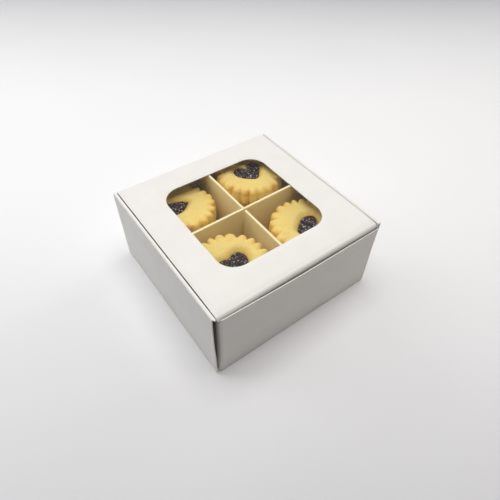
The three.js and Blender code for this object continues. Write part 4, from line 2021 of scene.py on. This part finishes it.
@dataclass(frozen=True)
class Studio:
    """The pale floor, the soft light and the photograph's camera."""

    floor_size: float = 6.0
    floor_gap: float = 0.05 * MM
    ambient: float = 0.01
    aim: Vector = Vector((0, 0, 30 * MM))
    lamps: tuple[SoftLight, ...] = (
        SoftLight("top_lamp", (-0.05, 0, 1.1), 0.85, 10.1, (1.0, 0.985, 0.965)),
        SoftLight("rear_left_lamp", (-0.9, 0.9, 1.1), 0.85, 4.2, (0.995, 0.995, 1.0)),
        SoftLight("rear_right_lamp", (1.3, 0.3, 1.1), 0.85, 3.9, (0.98, 0.99, 1.0)),
        SoftLight("mirrored_card", (0.75, 0.95, 1.1), 1.1, 1.0, (1.0, 0.98, 0.95)),
        SoftLight("low_left_lamp", (-0.45, 0.5, 0.3), 0.4, 0.7, (0.995, 0.995, 1.0), False),
        SoftLight("low_rear_lamp", (0, 1.4, 0.5), 0.9, 4.8, (0.98, 0.99, 1.0), False),
        SoftLight("low_right_lamp", (1.4, 0, 0.5), 0.9, 4.25, (0.98, 0.99, 1.0), False),
        SoftLight("warm_fill", (0.6, -0.5, 0.3), 0.3, 0.42, (1.0, 0.7, 0.45)),
    )
    target: Vector = Vector((0.98 * MM, -5.53 * MM, 20.0 * MM))
    azimuth: float = math.radians(-37.72)
    elevation: float = math.radians(48.54)
    roll: float = math.radians(1.99)
    distance: float = 269.55 * MM
    focal: float = 30.34
    sensor: float = 36.0
    clip_start: float = 0.01

    def build(self) -> None:
        """Lays the floor, hangs the lamps and sets the camera."""
        self.lay_floor()
        self.light()
        self.set_camera()

    def lay_floor(self) -> None:
        """Lays the floor just under the box."""
        clear_selection()
        place = (0, 0, -self.floor_gap)
        bpy.ops.mesh.primitive_plane_add(size=self.floor_size, location=place)
        floor = Workpiece("pale_floor")
        floor.paint(FloorFinish().material())
        floor.obj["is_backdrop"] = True

    def light(self) -> None:
        """Lights the box from above, behind and both sides, with a faint even ambient."""
        scene = bpy.context.scene
        scene.view_settings.view_transform = "Standard"
        world = bpy.data.worlds.new("studio")
        world.use_nodes = True
        sky = {"Color": (1.0, 1.0, 1.0), "Strength": self.ambient}
        NodeSheet(world.node_tree).feed(world.node_tree.nodes["Background"], sky)
        scene.world = world
        for lamp in self.lamps:
            lamp.hang(self.aim)

    def set_camera(self) -> None:
        """Stands the camera where the photograph was taken."""
        level, height = math.cos(self.elevation), math.sin(self.elevation)
        side, forward = math.sin(self.azimuth), math.cos(self.azimuth)
        back = Vector((side * level, -forward * level, height))
        right = (-back).cross(Z_AXIS).normalized()
        up = back.cross(right)
        across = right * math.cos(self.roll) + up * math.sin(self.roll)
        upward = up * math.cos(self.roll) - right * math.sin(self.roll)
        lens = bpy.data.cameras.new("photo_camera")
        lens.lens = self.focal
        lens.sensor_width = self.sensor
        lens.clip_start = self.clip_start
        camera = bpy.data.objects.new("photo_camera", lens)
        axes = Matrix((across, upward, back)).transposed().to_4x4()
        camera.matrix_world = Matrix.Translation(self.target + back * self.distance) @ axes
        bpy.context.scene.collection.objects.link(camera)
        bpy.context.scene.camera = camera


def build_carton(board: Board) -> None:
    """Builds the four walls, the front one sprung at its left corner.

    Args:
        board: The carton's board.
    """
    front_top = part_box("front_wall")[1].z
    sprung = (Corner(radius=1.9 * MM, draw=2.9 * MM), Corner())
    drop = (0.3 * MM, 1.9 * MM)
    left = {"front_setback": 1.6 * MM, "inner_setback": 11.0 * MM}
    EndWall("front", Turn.FRONT, board, front_top, drop=drop, corners=sprung).build()
    EndWall("rear", Turn.REAR, board, top=board.height - board.fold).build()
    SideWall("left", Turn.LEFT, board, **left).build()
    SideWall("right", Turn.RIGHT, board, front_setback=0.6 * MM).build()


def fill(finishes: Finishes) -> None:
    """Builds the four stacks of biscuits.

    Args:
        finishes: The materials of the box.
    """
    stacks = {
        "front_left": {
            "notch": 0.11,
            "shrink": 0.7 * MM,
            "drift": Vector((0.3, -0.5, 0)) * MM,
            "lift": 1.6 * MM,
        },
        "front_right": {"notch": 0.06, "drift": Vector((1.2, 0.2, 0)) * MM},
        "rear_left": {
            "slim": 0.62,
            "drift": Vector((1.6, 0.7, 0)) * MM,
            "lean": Vector((-0.072, -0.089, 0)),
        },
        "rear_right": {
            "notch": -0.18,
            "drift": Vector((2.4, 0.3, 0)) * MM,
            "lift": -2.0 * MM,
            "draft": 1.2 * MM,
            "rim_radius": 3.4 * MM,
            "foot_radius": 2.0 * MM,
        },
    }
    for seed, (cell, shape) in enumerate(stacks.items()):
        BiscuitStack(cell, seed, finishes, **shape).build()


def main() -> None:
    """Builds every piece of the box in order, then the studio."""
    logging.basicConfig(level=logging.INFO, format="%(name)s %(message)s")
    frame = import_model()
    finishes = Finishes.mix()
    board = Board.from_frame(finishes)
    base = frame["nodes"]["base_panel"]
    base.data.materials.clear()
    base.data.materials.append(finishes.carton)
    LOG.info("base_panel: carton board")
    build_carton(board)
    Lid(board, finishes.film).build()
    DividerInsert(finishes.insert, finishes.insert_edge).build()
    fill(finishes)
    Studio().build()


if __name__ == "__main__":
    main()
